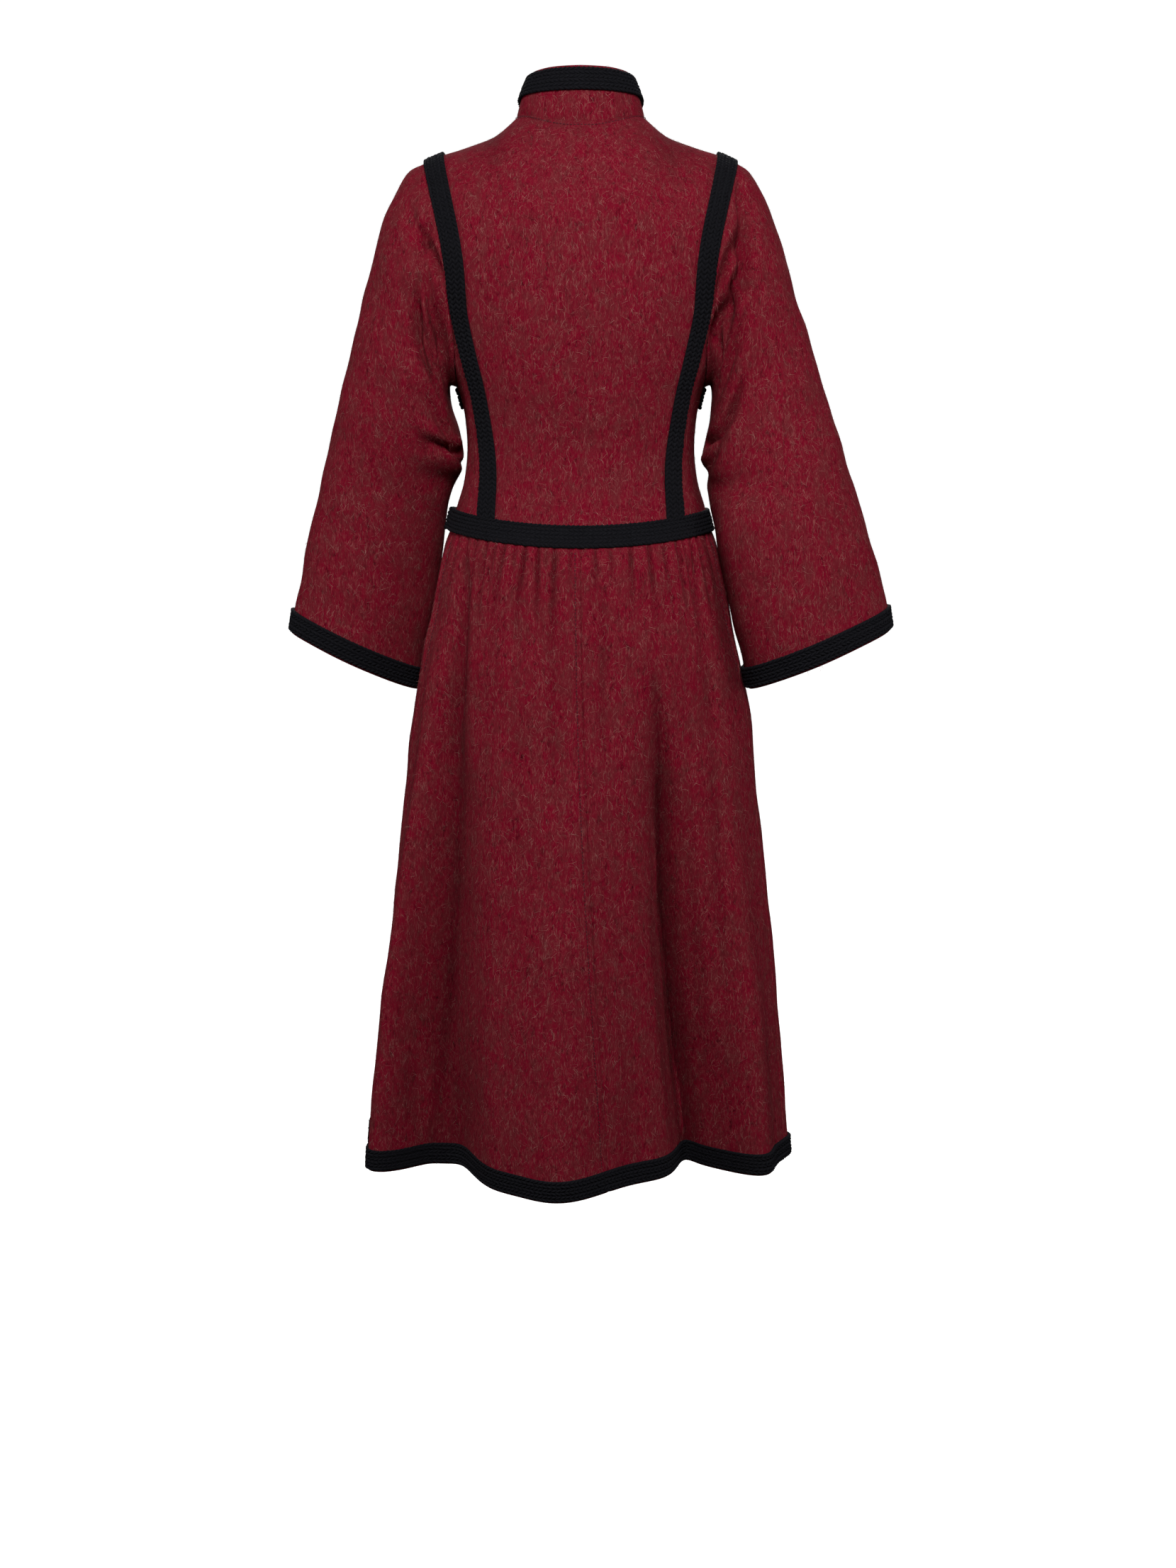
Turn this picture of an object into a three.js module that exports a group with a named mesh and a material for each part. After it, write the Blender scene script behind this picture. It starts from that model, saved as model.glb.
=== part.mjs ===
import * as THREE from 'three';

// A wool coat with a fitted bodice, a gathered skirt, wide sleeves and knitted braid on its seams.
// Millimetres, +Z up. The wearer faces -Y, so the back is +Y and the wearer's left is +X.
// The origin is midway between the shoulders, where the coat rests on its wearer.

// Cloth, seams and braid
const wall = 3;
const seamGap = 0.3;
const braidWide = 24;
const braidThick = 4.2;
const braidLift = 1.1;
const clothEdge = 2;
const armholeGap = 1.35;
const waistGap = 0.3;
const collarGap = 0.9;

// Heights along the coat, from the shoulder line
const chestZ = -110;
const underarmZ = -246;
const tipZ = -6;
const waistZ = -399.5;
const waistDip = 7.5;
const hemZ = -1131;
const levelSpan = 200;

// Trims of the bodice panels beside their seams, in radians of turn
const sideTrim = 0.0012;
const princessTrim = 0.0016;
const armholeTrim = 0.0045;

// Neck opening and standing collar
const neckHalf = 70;
const neckBack = 60;
const neckFront = 90;
const collarTopHalf = 55;
const collarTopBack = 54;
const collarTopFront = 74;

// Front overlap, the right front lying on the left one. The pull is the share of a front's width
// over which its columns are drawn past the centre.
const overlapHalf = 20;
const overlapLift = 4.2;
const overlapRamp = 24;
const overlapPast = 8;
const frontPull = 0.3;

// Seams of the skirt, in degrees round from the centre back, and the pocket slits in its side seams
const sideSeam = 76;
const backSeamDrift = -9;
const pocketTop = -415;
const pocketBottom = -565;
const pocketGape = 3.4;

// Gathers below the waist braid
const gathersBack = 8;
const gathersFront = 6;
const gatherDeep = 5.2;
const gatherPlain = 14;
const gatherFull = 34;
const gatherEnd = 120;

// Braid round the armhole: how far in from the seam it lies, and where its end under the arm stops
const braidInset = 1;
const stubEnd = -0.5;
const sleeveColumns = 28;

// Buttons of the front closing
const buttonHalf = 11;
const buttonThick = 5;
const buttonHeights = [-30, -120, -210, -300, -460, -550];

// Colours read from the cloth and the braid
const woolRed = 0x7d1a2b;
const braidBlack = 0x141316;
const hornBlack = 0x1b191b;

// Plan of the bodice at each height: half width, depth behind and before the shoulder line, squareness
const bodiceRows = [
  { z: -425, half: 150, back: 104, front: 101, square: 2.2 },
  { z: -400, half: 145, back: 100, front: 98, square: 2.2 },
  { z: -375, half: 138, back: 96, front: 97, square: 2.25 },
  { z: -350, half: 130.5, back: 93, front: 99, square: 2.3 },
  { z: -315, half: 126.5, back: 93, front: 106, square: 2.3 },
  { z: -280, half: 128.5, back: 98, front: 117, square: 2.3 },
  { z: -257, half: 133, back: 102, front: 124, square: 2.3 },
  { z: -246, half: 136.5, back: 104, front: 126, square: 2.3 },
  { z: -225, half: 145, back: 107, front: 128, square: 2.3 },
  { z: -200, half: 153, back: 110, front: 127, square: 2.3 },
  { z: -161, half: 168, back: 113, front: 119, square: 2.3 },
  { z: -132, half: 183, back: 113, front: 111.5, square: 2.3 },
  { z: -110, half: 191, back: 112, front: 108, square: 2.3 },
  { z: -88, half: 194, back: 111.5, front: 107, square: 2.3 },
];

// Height of the shoulder line across the body, falling from the neck to the shoulder tip
const shoulderRows = [
  { x: 0, z: 60 },
  { x: 40, z: 55 },
  { x: 60, z: 49 },
  { x: 70, z: 41.5 },
  { x: 84, z: 29 },
  { x: 96, z: 21 },
  { x: 115, z: 14 },
  { x: 133, z: 8 },
  { x: 150, z: 3 },
  { x: 171, z: -6 },
  { x: 192, z: -18 },
];

// Armhole seam: how far it lies from the centre, behind and before
const armholeRows = [
  { z: -246, back: 136.5, front: 136.5 },
  { z: -243, back: 136.9, front: 136 },
  { z: -232, back: 137.8, front: 134.5 },
  { z: -210, back: 137.6, front: 132 },
  { z: -185, back: 138.5, front: 131 },
  { z: -161, back: 141, front: 132.5 },
  { z: -130, back: 143.5, front: 136 },
  { z: -101, back: 147.5, front: 141 },
  { z: -70, back: 154.5, front: 149 },
  { z: -45, back: 160.5, front: 157 },
  { z: -20, back: 167.5, front: 166 },
  { z: -6, back: 171, front: 171 },
];

// Princess seam of the back, from the waist to where it meets the armhole
const princessRows = [
  { z: -420, x: 103.5 },
  { z: -394, x: 103 },
  { z: -371, x: 102 },
  { z: -340, x: 100 },
  { z: -310, x: 102 },
  { z: -280, x: 106 },
  { z: -250, x: 111.5 },
  { z: -220, x: 117.5 },
  { z: -190, x: 123 },
  { z: -161, x: 129 },
];
const princessTop = -192;

// Plan of the skirt at each height
const skirtRows = [
  { z: -1160, half: 250, back: 104, front: 150, square: 2 },
  { z: -1000, half: 238, back: 112, front: 146, square: 2 },
  { z: -854, half: 221.5, back: 122, front: 141, square: 2 },
  { z: -688, half: 201, back: 130, front: 134, square: 2 },
  { z: -600, half: 190, back: 131, front: 129, square: 2.05 },
  { z: -552, half: 181, back: 130, front: 126, square: 2.1 },
  { z: -500, half: 169, back: 126, front: 121, square: 2.1 },
  { z: -445, half: 155.5, back: 117, front: 112, square: 2.15 },
  { z: -420, half: 149, back: 109, front: 105, square: 2.2 },
  { z: -400, half: 145, back: 100, front: 98, square: 2.2 },
  { z: -385, half: 141, back: 96, front: 96, square: 2.2 },
];

// Hanging folds of the skirt: place round from the centre back, height out at the hem,
// half width in degrees, and the height where each one starts
const skirtFolds = [
  { around: 6, out: 62, spread: 15, start: -560 },
  { around: 22, out: 12, spread: 7, start: -640 },
  { around: 37, out: -34, spread: 8, start: -520 },
  { around: 63, out: 30, spread: 9, start: -600 },
  { around: 88, out: -10, spread: 9, start: -640 },
  { around: 112, out: 13, spread: 11, start: -560 },
  { around: 134, out: -24, spread: 9, start: -600 },
  { around: 153, out: 16, spread: 8, start: -560 },
  { around: -34, out: -36, spread: 9, start: -520 },
  { around: -53, out: 24, spread: 8, start: -600 },
  { around: -76, out: -4, spread: 8, start: -680 },
  { around: -96, out: -16, spread: 9, start: -620 },
  { around: -118, out: 22, spread: 10, start: -560 },
  { around: -138, out: -22, spread: 9, start: -620 },
  { around: -156, out: 14, spread: 8, start: -580 },
];

// Rings of each sleeve: its outermost and innermost points and the cloth's reach behind and before them.
// Along runs from the armhole to the cuff.
const sleeveRows = {
  left: [
    { along: 0, outX: 171, outY: 0, outZ: -6, inX: 137, inY: 0, inZ: -246, back: 69, front: 66 },
    { along: 0.04, outX: 188, outY: 0, outZ: -15, inX: 145, inY: 0, inZ: -244.5, back: 68, front: 65 },
    { along: 0.09, outX: 204, outY: 0, outZ: -40, inX: 147.5, inY: 0, inZ: -255, back: 67, front: 64 },
    { along: 0.16, outX: 219, outY: 0, outZ: -75, inX: 143, inY: -1, inZ: -275, back: 65, front: 63 },
    { along: 0.24, outX: 231, outY: -1, outZ: -115, inX: 135, inY: -3, inZ: -297, back: 63, front: 62 },
    { along: 0.33, outX: 245, outY: -2, outZ: -165, inX: 131.5, inY: -6, inZ: -320, back: 60, front: 61 },
    { along: 0.43, outX: 259, outY: -5, outZ: -222, inX: 133, inY: -12, inZ: -338, back: 57, front: 61 },
    { along: 0.54, outX: 276, outY: -9, outZ: -287, inX: 150, inY: -36, inZ: -374, back: 56, front: 61 },
    { along: 0.65, outX: 291, outY: -14, outZ: -350, inX: 157, inY: -54, inZ: -420, back: 55, front: 60 },
    { along: 0.77, outX: 307, outY: -20, outZ: -412, inX: 166, inY: -58, inZ: -472, back: 55, front: 60 },
    { along: 0.89, outX: 322, outY: -25, outZ: -474, inX: 180, inY: -60, inZ: -540, back: 56, front: 60 },
    { along: 1, outX: 332, outY: -28, outZ: -520, inX: 190, inY: -60, inZ: -588, back: 57, front: 60 },
  ],
  right: [
    { along: 0, outX: 171, outY: 0, outZ: -6, inX: 137, inY: 0, inZ: -246, back: 69, front: 66 },
    { along: 0.04, outX: 184, outY: 0, outZ: -15, inX: 144.5, inY: 0, inZ: -244.5, back: 68, front: 65 },
    { along: 0.09, outX: 200, outY: 0, outZ: -40, inX: 147, inY: 0, inZ: -257, back: 67, front: 64 },
    { along: 0.16, outX: 215, outY: 0, outZ: -75, inX: 144.5, inY: 1, inZ: -279, back: 66, front: 62 },
    { along: 0.24, outX: 228, outY: 1, outZ: -115, inX: 139, inY: 3, inZ: -302, back: 65, front: 60 },
    { along: 0.33, outX: 242, outY: 3, outZ: -165, inX: 134, inY: 7, inZ: -324, back: 63, front: 58 },
    { along: 0.43, outX: 261, outY: 5, outZ: -222, inX: 137, inY: 16, inZ: -345, back: 61, front: 56 },
    { along: 0.54, outX: 280, outY: 7, outZ: -287, inX: 144, inY: 32, inZ: -378, back: 60, front: 55 },
    { along: 0.65, outX: 300, outY: 9, outZ: -350, inX: 151, inY: 50, inZ: -418, back: 59, front: 55 },
    { along: 0.77, outX: 320, outY: 10, outZ: -414, inX: 162, inY: 56, inZ: -472, back: 59, front: 56 },
    { along: 0.89, outX: 337, outY: 10, outZ: -470, inX: 177, inY: 54, inZ: -532, back: 60, front: 58 },
    { along: 1, outX: 347, outY: 10, outZ: -512, inX: 190, inY: 50, inZ: -577, back: 60, front: 60 },
  ],
};

// Creases of the sleeves, as troughs between two places. Round is in degrees from the outer edge by way
// of the back, along runs to the cuff, deep and wide are sizes across the trough.
const sleeveCreases = {
  left: [
    { round1: 42, along1: 0.06, round2: 118, along2: 0.07, deep: 11, wide: 15 },
    { round1: 78, along1: 0.16, round2: 138, along2: 0.13, deep: 8, wide: 14 },
    { round1: 120, along1: 0.3, round2: 172, along2: 0.38, deep: 9, wide: 16 },
    { round1: 112, along1: 0.52, round2: 168, along2: 0.47, deep: 7, wide: 17 },
    { round1: 196, along1: 0.4, round2: 262, along2: 0.46, deep: 9, wide: 18 },
    { round1: 240, along1: 0.08, round2: 306, along2: 0.08, deep: 7, wide: 16 },
  ],
  right: [
    { round1: 36, along1: 0.07, round2: 122, along2: 0.08, deep: 12, wide: 15 },
    { round1: 84, along1: 0.17, round2: 142, along2: 0.14, deep: 8, wide: 14 },
    { round1: 112, along1: 0.3, round2: 170, along2: 0.4, deep: 11, wide: 17 },
    { round1: 118, along1: 0.54, round2: 172, along2: 0.46, deep: 7, wide: 17 },
    { round1: 192, along1: 0.42, round2: 258, along2: 0.44, deep: 9, wide: 18 },
    { round1: 236, along1: 0.08, round2: 300, along2: 0.09, deep: 7, wide: 16 },
  ],
};

// Height of the collar's top edge round from the centre back
const collarRows = [
  { around: 0, top: 90 },
  { around: 45, top: 89 },
  { around: 90, top: 84 },
  { around: 135, top: 63 },
  { around: 180, top: 36 },
];

const { degToRad, radToDeg, lerp, smoothstep } = THREE.MathUtils;

// Smooth curve through one column of a table, held level past its ends
function tableCurve(rows, key, column) {
  const last = rows.length - 1;
  const slope = (i) => {
    const before = rows[Math.max(i - 1, 0)];
    const after = rows[Math.min(i + 1, last)];
    return (after[column] - before[column]) / (after[key] - before[key]);
  };
  return (place) => {
    const at = THREE.MathUtils.clamp(place, rows[0][key], rows[last][key]);
    let i = 0;
    while (i < last - 1 && at > rows[i + 1][key]) i += 1;
    const span = rows[i + 1][key] - rows[i][key];
    const p = (at - rows[i][key]) / span;
    const q = 1 - p;
    return rows[i][column] * q * q * (1 + 2 * p)
      + rows[i + 1][column] * p * p * (3 - 2 * p)
      + span * (slope(i) * p * q * q - slope(i + 1) * p * p * q);
  };
}

// Curves for every column of a table but its key
function tableCurves(rows, key) {
  const curves = {};
  for (const column of Object.keys(rows[0])) {
    if (column !== key) curves[column] = tableCurve(rows, key, column);
  }
  return curves;
}

const bodice = tableCurves(bodiceRows, 'z');
const shoulder = tableCurve(shoulderRows, 'x', 'z');
const armhole = tableCurves(armholeRows, 'z');
const princess = tableCurve(princessRows, 'z', 'x');
const skirt = tableCurves(skirtRows, 'z');
const collarTop = tableCurve(collarRows, 'around', 'top');
const sleeves = {
  left: tableCurves(sleeveRows.left, 'along'),
  right: tableCurves(sleeveRows.right, 'along'),
};
const quarter = Math.PI / 2;

// Waist seam: lower at the centre back and the centre front than at the sides
function waistAt(turn) {
  return waistZ - waistDip * Math.cos(2 * turn);
}

// Depth of a squared oval at a turn from the centre back, as a share of its full depth
function planDepth(turn, square) {
  const across = Math.min(Math.abs(Math.sin(turn)), 1);
  return (1 - across ** square) ** (1 / square);
}

// Point of the body's plan at a height
function planPoint(plan, turn, z) {
  const backwards = Math.cos(turn) >= 0;
  const depth = backwards ? plan.back(z) : plan.front(z);
  const y = planDepth(turn, plan.square(z)) * depth * (backwards ? 1 : -1);
  return new THREE.Vector3(plan.half(z) * Math.sin(turn), y, z);
}

// Point of the bodice by turn and level. Level 0 is the chest, 1 is the shoulder line, and below
// the chest it runs straight down.
function bodicePoint(turn, level) {
  if (level <= 0) return planPoint(bodice, turn, chestZ + level * levelSpan);
  const point = planPoint(bodice, turn, chestZ);
  const height = shoulder(Math.abs(point.x)) - chestZ;
  point.y *= Math.cos(level * quarter);
  point.z += height * Math.sin(level * quarter);
  return point;
}

// Level of the bodice at a distance from the centre and a height
function levelAt(x, z) {
  if (z <= chestZ) return (z - chestZ) / levelSpan;
  const share = Math.min((z - chestZ) / (shoulder(Math.abs(x)) - chestZ), 1);
  return Math.asin(share) / quarter;
}

// Turn from the centre back at a distance from the centre and a height
function turnAt(x, z) {
  return Math.asin(Math.min(x / bodice.half(Math.min(z, chestZ)), 1));
}

// Place of the neck seam above a turn round the neck, as a turn and level of the bodice
function neckPlace(around) {
  const depth = Math.cos(around) >= 0 ? neckBack : neckFront;
  const x = neckHalf * Math.sin(around);
  const y = depth * Math.cos(around);
  const side = turnAt(Math.abs(x), chestZ);
  const full = planDepth(side, bodice.square(chestZ));
  const reach = full * (y >= 0 ? bodice.back(chestZ) : bodice.front(chestZ));
  const turn = y >= 0 ? side : Math.PI - side;
  return { turn: turn * Math.sign(x || 1), level: Math.acos(Math.min(Math.abs(y) / reach, 1)) / quarter };
}

// Direction out of a surface given by two numbers
function outward(surface, a, b, centre) {
  const step = 0.002;
  const alongA = surface(a + step, b).sub(surface(a - step, b));
  const alongB = surface(a, b + step).sub(surface(a, b - step));
  const normal = alongA.cross(alongB).normalize();
  const out = surface(a, b).sub(centre);
  return normal.dot(out) < 0 ? normal.negate() : normal;
}

const chestCentre = new THREE.Vector3(0, 0, chestZ);

// Point of the bodice moved out from the form, which keeps its smooth direction at every edge
function bodiceRaised(turn, level, lift) {
  const inside = Math.min(level, 0.998);
  const out = outward(bodicePoint, turn, inside, chestCentre);
  if (level > 0.9) out.y *= Math.min((1 - level) / 0.1, 1);
  return bodicePoint(turn, level).addScaledVector(out.normalize(), lift);
}

// Extra lift of the right front where it lies over the left one, by distance from the centre front
function overlapRise(x) {
  const past = x + overlapHalf + overlapPast + overlapRamp;
  return overlapLift * smoothstep(past, 0, overlapRamp);
}

// Relief of the gathers round the skirt, even in number and uneven in depth
function gatherRelief(turn, z) {
  const degrees = Math.abs(radToDeg(turn));
  const behind = degrees < sideSeam;
  const count = behind ? gathersBack : gathersFront;
  const span = behind ? sideSeam : 180 - sideSeam;
  const place = ((behind ? degrees : degrees - sideSeam) / span) * count;
  const drop = waistAt(turn) - z;
  const length = gatherEnd * (0.8 + 0.25 * Math.sin(place * 2.3));
  const rise = smoothstep(drop, gatherPlain, gatherFull) * (1 - smoothstep(drop, gatherFull, length));
  const nearFront = smoothstep(180 - degrees, 17, 27);
  const nearSeam = smoothstep(Math.abs(degrees - sideSeam), 1, 5);
  const wave = Math.sin(place * 2 * Math.PI);
  return gatherDeep * (0.8 + 0.2 * Math.cos(place * 3.7)) * wave * rise * nearFront * nearSeam;
}

// Relief of the hanging folds of the skirt
function foldRelief(turn, z) {
  const degrees = radToDeg(turn);
  let relief = 0;
  for (const fold of skirtFolds) {
    const grown = smoothstep(fold.start - z, 0, fold.start - hemZ) ** 0.8;
    relief += fold.out * grown * Math.exp(-(((degrees - fold.around) / fold.spread) ** 2));
  }
  return relief;
}

// Point of the skirt by turn and height, moved out from its form
function skirtRaised(turn, z, lift) {
  const surface = (a, b) => planPoint(skirt, a, b * levelSpan);
  const out = outward(surface, turn, z / levelSpan, new THREE.Vector3(0, 0, z));
  const relief = gatherRelief(turn, z) + foldRelief(turn, z);
  return planPoint(skirt, turn, z).addScaledVector(out, relief + lift);
}

// Closed loop of the armhole seam on the wearer's left: shoulder tip, back, underarm, front
function armholeCurve() {
  const shares = steps(0, 5, 0.04, 3, 0.12, 20, 0.88, 3, 0.96, 5, 1);
  const heights = shares.map((down) => lerp(tipZ, underarmZ, down));
  const place = (z, column) => {
    const turn = turnAt(armhole[column](z), z);
    return bodicePoint(column === 'back' ? turn : Math.PI - turn, levelAt(armhole[column](z), z));
  };
  const tip = bodicePoint(turnAt(armhole.back(tipZ), tipZ), 1);
  const pit = new THREE.Vector3(bodice.half(underarmZ), 0, underarmZ);
  const inner = heights.slice(1, -1);
  return {
    back: new THREE.CatmullRomCurve3([tip, ...inner.map((z) => place(z, 'back')), pit]),
    front: new THREE.CatmullRomCurve3([pit, ...inner.map((z) => place(z, 'front')).reverse(), tip]),
  };
}
const armholeLoop = armholeCurve();

// Point of the armhole seam, round being a share of a full turn from the shoulder tip by way of the back
function armholePoint(round) {
  const share = THREE.MathUtils.euclideanModulo(round, 1);
  return share <= 0.5 ? armholeLoop.back.getPointAt(share * 2) : armholeLoop.front.getPointAt(share * 2 - 1);
}

// Oval of a sleeve, before it is fitted to the armhole
function sleeveOval(rows, round, along) {
  const outer = new THREE.Vector3(rows.outX(along), rows.outY(along), rows.outZ(along));
  const inner = new THREE.Vector3(rows.inX(along), rows.inY(along), rows.inZ(along));
  const middle = outer.clone().add(inner).multiplyScalar(0.5);
  const across = outer.clone().sub(middle);
  const deep = new THREE.Vector3(0, 1, 0);
  deep.addScaledVector(across, -across.y / across.lengthSq()).normalize();
  const angle = round * 2 * Math.PI;
  const depth = Math.sin(angle) >= 0 ? rows.back(along) : rows.front(along);
  return middle.addScaledVector(across, Math.cos(angle)).addScaledVector(deep, depth * Math.sin(angle));
}

// Point of a sleeve, which leaves the armhole and settles to its own oval
function sleevePoint(side, round, along) {
  const rows = sleeves[side];
  const point = sleeveOval(rows, round, along);
  const fade = (1 - smoothstep(along, 0, 0.26));
  const start = armholePoint(round).sub(sleeveOval(rows, round, 0));
  return point.addScaledVector(start, fade);
}

// Relief of a sleeve's creases, in sizes measured round and along the sleeve
function creaseRelief(side, round, along) {
  const roundSize = 1.3;
  const alongSize = 560;
  const here = new THREE.Vector2(round * 360 * roundSize, along * alongSize);
  let relief = 0;
  for (const crease of sleeveCreases[side]) {
    const from = new THREE.Vector2(crease.round1 * roundSize, crease.along1 * alongSize);
    const run = new THREE.Vector2(crease.round2 * roundSize, crease.along2 * alongSize).sub(from);
    const share = THREE.MathUtils.clamp(here.clone().sub(from).dot(run) / run.lengthSq(), 0, 1);
    const away = here.distanceTo(from.clone().addScaledVector(run, share)) / crease.wide;
    const body = 0.55 + 0.45 * Math.sin(Math.PI * share);
    relief -= crease.deep * body * Math.exp(-away * away);
  }
  return relief * smoothstep(along, 0.015, 0.075);
}

// Point of a sleeve moved out from its form
function sleeveRaised(side, round, along, lift) {
  const surface = (a, b) => sleevePoint(side, a, b);
  const inside = THREE.MathUtils.clamp(along, 0.004, 0.996);
  const middle = sleevePoint(side, 0, inside).add(sleevePoint(side, 0.5, inside)).multiplyScalar(0.5);
  const out = outward(surface, round, inside, middle);
  const start = (1 - smoothstep(along, 0, 0.05)) * smoothstep(Math.abs(round - 0.5), 0.05, 0.14);
  if (start > 0) {
    const place = placeOf(armholePoint(round));
    out.lerp(outward(bodicePoint, place.turn, Math.min(place.level, 0.995), chestCentre), start).normalize();
  }
  return sleevePoint(side, round, along).addScaledVector(out, creaseRelief(side, round, along) + lift);
}

// Even steps between marks, so that a row of points falls on each mark
function steps(...marksAndCounts) {
  const places = [marksAndCounts[0]];
  for (let i = 1; i < marksAndCounts.length; i += 2) {
    const from = marksAndCounts[i - 1];
    const to = marksAndCounts[i + 1];
    for (let k = 1; k <= marksAndCounts[i]; k += 1) places.push(lerp(from, to, k / marksAndCounts[i]));
  }
  return places;
}

// Closed solid between an outer and an inner skin over the same places. A ring closes on itself.
function wallSolid(columns, rows, outer, inner, ring = false) {
  const positions = [];
  const wide = columns.length;
  const skin = wide * rows.length;
  for (const surface of [outer, inner]) {
    for (const v of rows) {
      for (const u of columns) positions.push(...surface(u, v).toArray());
    }
  }
  const faces = [];
  const quad = (a, b, c, d) => faces.push(a, b, c, a, c, d);
  const at = (i, j) => j * wide + (i % wide);
  const cells = ring ? wide : wide - 1;
  const top = rows.length - 1;
  for (let i = 0; i < cells; i += 1) {
    for (let j = 0; j < top; j += 1) {
      quad(at(i, j), at(i + 1, j), at(i + 1, j + 1), at(i, j + 1));
      quad(skin + at(i, j), skin + at(i, j + 1), skin + at(i + 1, j + 1), skin + at(i + 1, j));
    }
    quad(at(i, 0), skin + at(i, 0), skin + at(i + 1, 0), at(i + 1, 0));
    quad(at(i, top), at(i + 1, top), skin + at(i + 1, top), skin + at(i, top));
  }
  for (let j = 0; j < top && !ring; j += 1) {
    quad(at(0, j), at(0, j + 1), skin + at(0, j + 1), skin + at(0, j));
    quad(at(cells, j), skin + at(cells, j), skin + at(cells, j + 1), at(cells, j + 1));
  }
  return solidFrom(positions, faces);
}

// Geometry whose faces point out, turned round when its volume comes out negative
function solidFrom(positions, faces) {
  const corner = (k) => new THREE.Vector3().fromArray(positions, faces[k] * 3);
  let volume = 0;
  for (let k = 0; k < faces.length; k += 3) volume += corner(k).dot(corner(k + 1).cross(corner(k + 2)));
  if (volume < 0) faces.reverse();
  const geometry = new THREE.BufferGeometry();
  geometry.setAttribute('position', new THREE.Float32BufferAttribute(positions, 3));
  geometry.setIndex(faces);
  geometry.computeVertexNormals();
  return geometry;
}

const coat = new THREE.Group();

// Adds one named piece to the coat
function addPiece(name, geometry, colour, roughness) {
  const material = new THREE.MeshStandardMaterial({ color: colour, roughness, metalness: 0 });
  const mesh = new THREE.Mesh(geometry, material);
  mesh.name = name;
  coat.add(mesh);
}

const addCloth = (name, geometry) => addPiece(name, geometry, woolRed, 0.95);
const addBraid = (name, geometry) => addPiece(name, geometry, braidBlack, 0.9);

// Turn and level of the neck seam over a column of a panel, by its distance from the centre
function neckAbove(turn, backwards) {
  const x = bodice.half(chestZ) * Math.sin(Math.abs(turn));
  const around = Math.asin(Math.min(x / neckHalf, 1));
  return neckPlace(backwards ? around : Math.PI - around).level;
}
const neckTurn = Math.asin(neckHalf / bodice.half(chestZ));
const tipTurn = turnAt(armhole.back(tipZ), tipZ);
const shoulderTop = 1 - seamGap / 200;
const neckStepsBack = 5;
const neckStepsFront = 7;

// Shares of a panel's width that fall at even turns round the neck
function neckShares(count) {
  const share = (around) => Math.asin((neckHalf * Math.sin(around)) / bodice.half(chestZ)) / tipTurn;
  return steps(0, count, quarter).map(share);
}

// Top level of a bodice column: the neck seam inside the neck, the shoulder line outside it
function panelTop(turn, backwards) {
  return Math.abs(turn) < neckTurn ? Math.min(neckAbove(turn, backwards), shoulderTop) : shoulderTop;
}

// Height at a level of the bodice, beside a distance from the centre
function heightAt(x, level) {
  if (level <= 0) return chestZ + level * levelSpan;
  return chestZ + (shoulder(x) - chestZ) * Math.sin(level * quarter);
}

// Turn of an edge that is given by its distance from the centre, at a level
function edgeTurn(distance, level) {
  let x = distance(chestZ);
  for (let k = 0; k < 6; k += 1) x = distance(heightAt(x, level));
  return turnAt(x, heightAt(x, level));
}

// Edge of the back bodice: the princess seam, which turns out to the armhole near its top
function backEdge(z) {
  if (z >= princessTop) return armhole.back(z);
  const out = armhole.back(princessTop) - princess(princessTop);
  return princess(z) + out * smoothstep(z, princessTop - 26, princessTop);
}
const princessLow = (waistAt(turnAt(princess(-394), -394)) - chestZ) / levelSpan;
const princessMark = (levelAt(0, princessTop) - princessLow) / (shoulderTop - princessLow);

// Back bodice: one piece between the princess seams, the armholes, the neck and the waist
function backBodice() {
  const low = princessLow;
  const surface = (lift) => (u, v) => {
    const edgeLevel = lerp(low, shoulderTop, v);
    const trim = v < princessMark * 0.99 ? princessTrim : armholeTrim;
    const turn = u * (edgeTurn(backEdge, edgeLevel) - trim);
    const bottom = (waistAt(turn) + waistGap - chestZ) / levelSpan;
    const topTurn = u * tipTurn;
    return bodiceRaised(turn, lerp(bottom, panelTop(topTurn, true), v), lift);
  };
  const half = [...neckShares(neckStepsBack), ...steps(neckTurn / tipTurn, 4, 1).slice(1)];
  const columns = [...half.slice(1).reverse().map((u) => -u), ...half];
  const rows = steps(0, 6, princessMark, 8, 0.85, 4, 1);
  addCloth('back_bodice', wallSolid(columns, rows, surface(0), surface(-wall)));
}

// Side of a piece: the wearer's left is +X, and the right is its mirror
const sides = [
  { name: 'left', way: 1 },
  { name: 'right', way: -1 },
];

// Mirrors a point for the wearer's right
function toSide(point, way) {
  point.x *= way;
  return point;
}

// Side back: from the princess seam to the side seam, under the armhole
function sideBack(side) {
  const across = (z, u) => lerp(turnAt(backEdge(z), z), quarter - sideTrim, u);
  const topHeight = (u) => {
    let low = underarmZ;
    let high = princessTop;
    for (let k = 0; k < 30; k += 1) {
      const z = (low + high) / 2;
      if (across(z, u) < turnAt(armhole.back(z), z)) low = z;
      else high = z;
    }
    return low;
  };
  const surface = (lift) => (u, v) => {
    const bottom = waistAt(across(waistZ, u)) + waistGap;
    const z = lerp(bottom, topHeight(u) - seamGap, v);
    const turn = across(z, u) + (1 - u) * princessTrim;
    return toSide(bodiceRaised(turn, (z - chestZ) / levelSpan, lift), side.way);
  };
  addCloth(`side_back_${side.name}`, wallSolid(steps(0, 6, 1), steps(0, 6, 1), surface(0), surface(-wall)));
}

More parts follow.
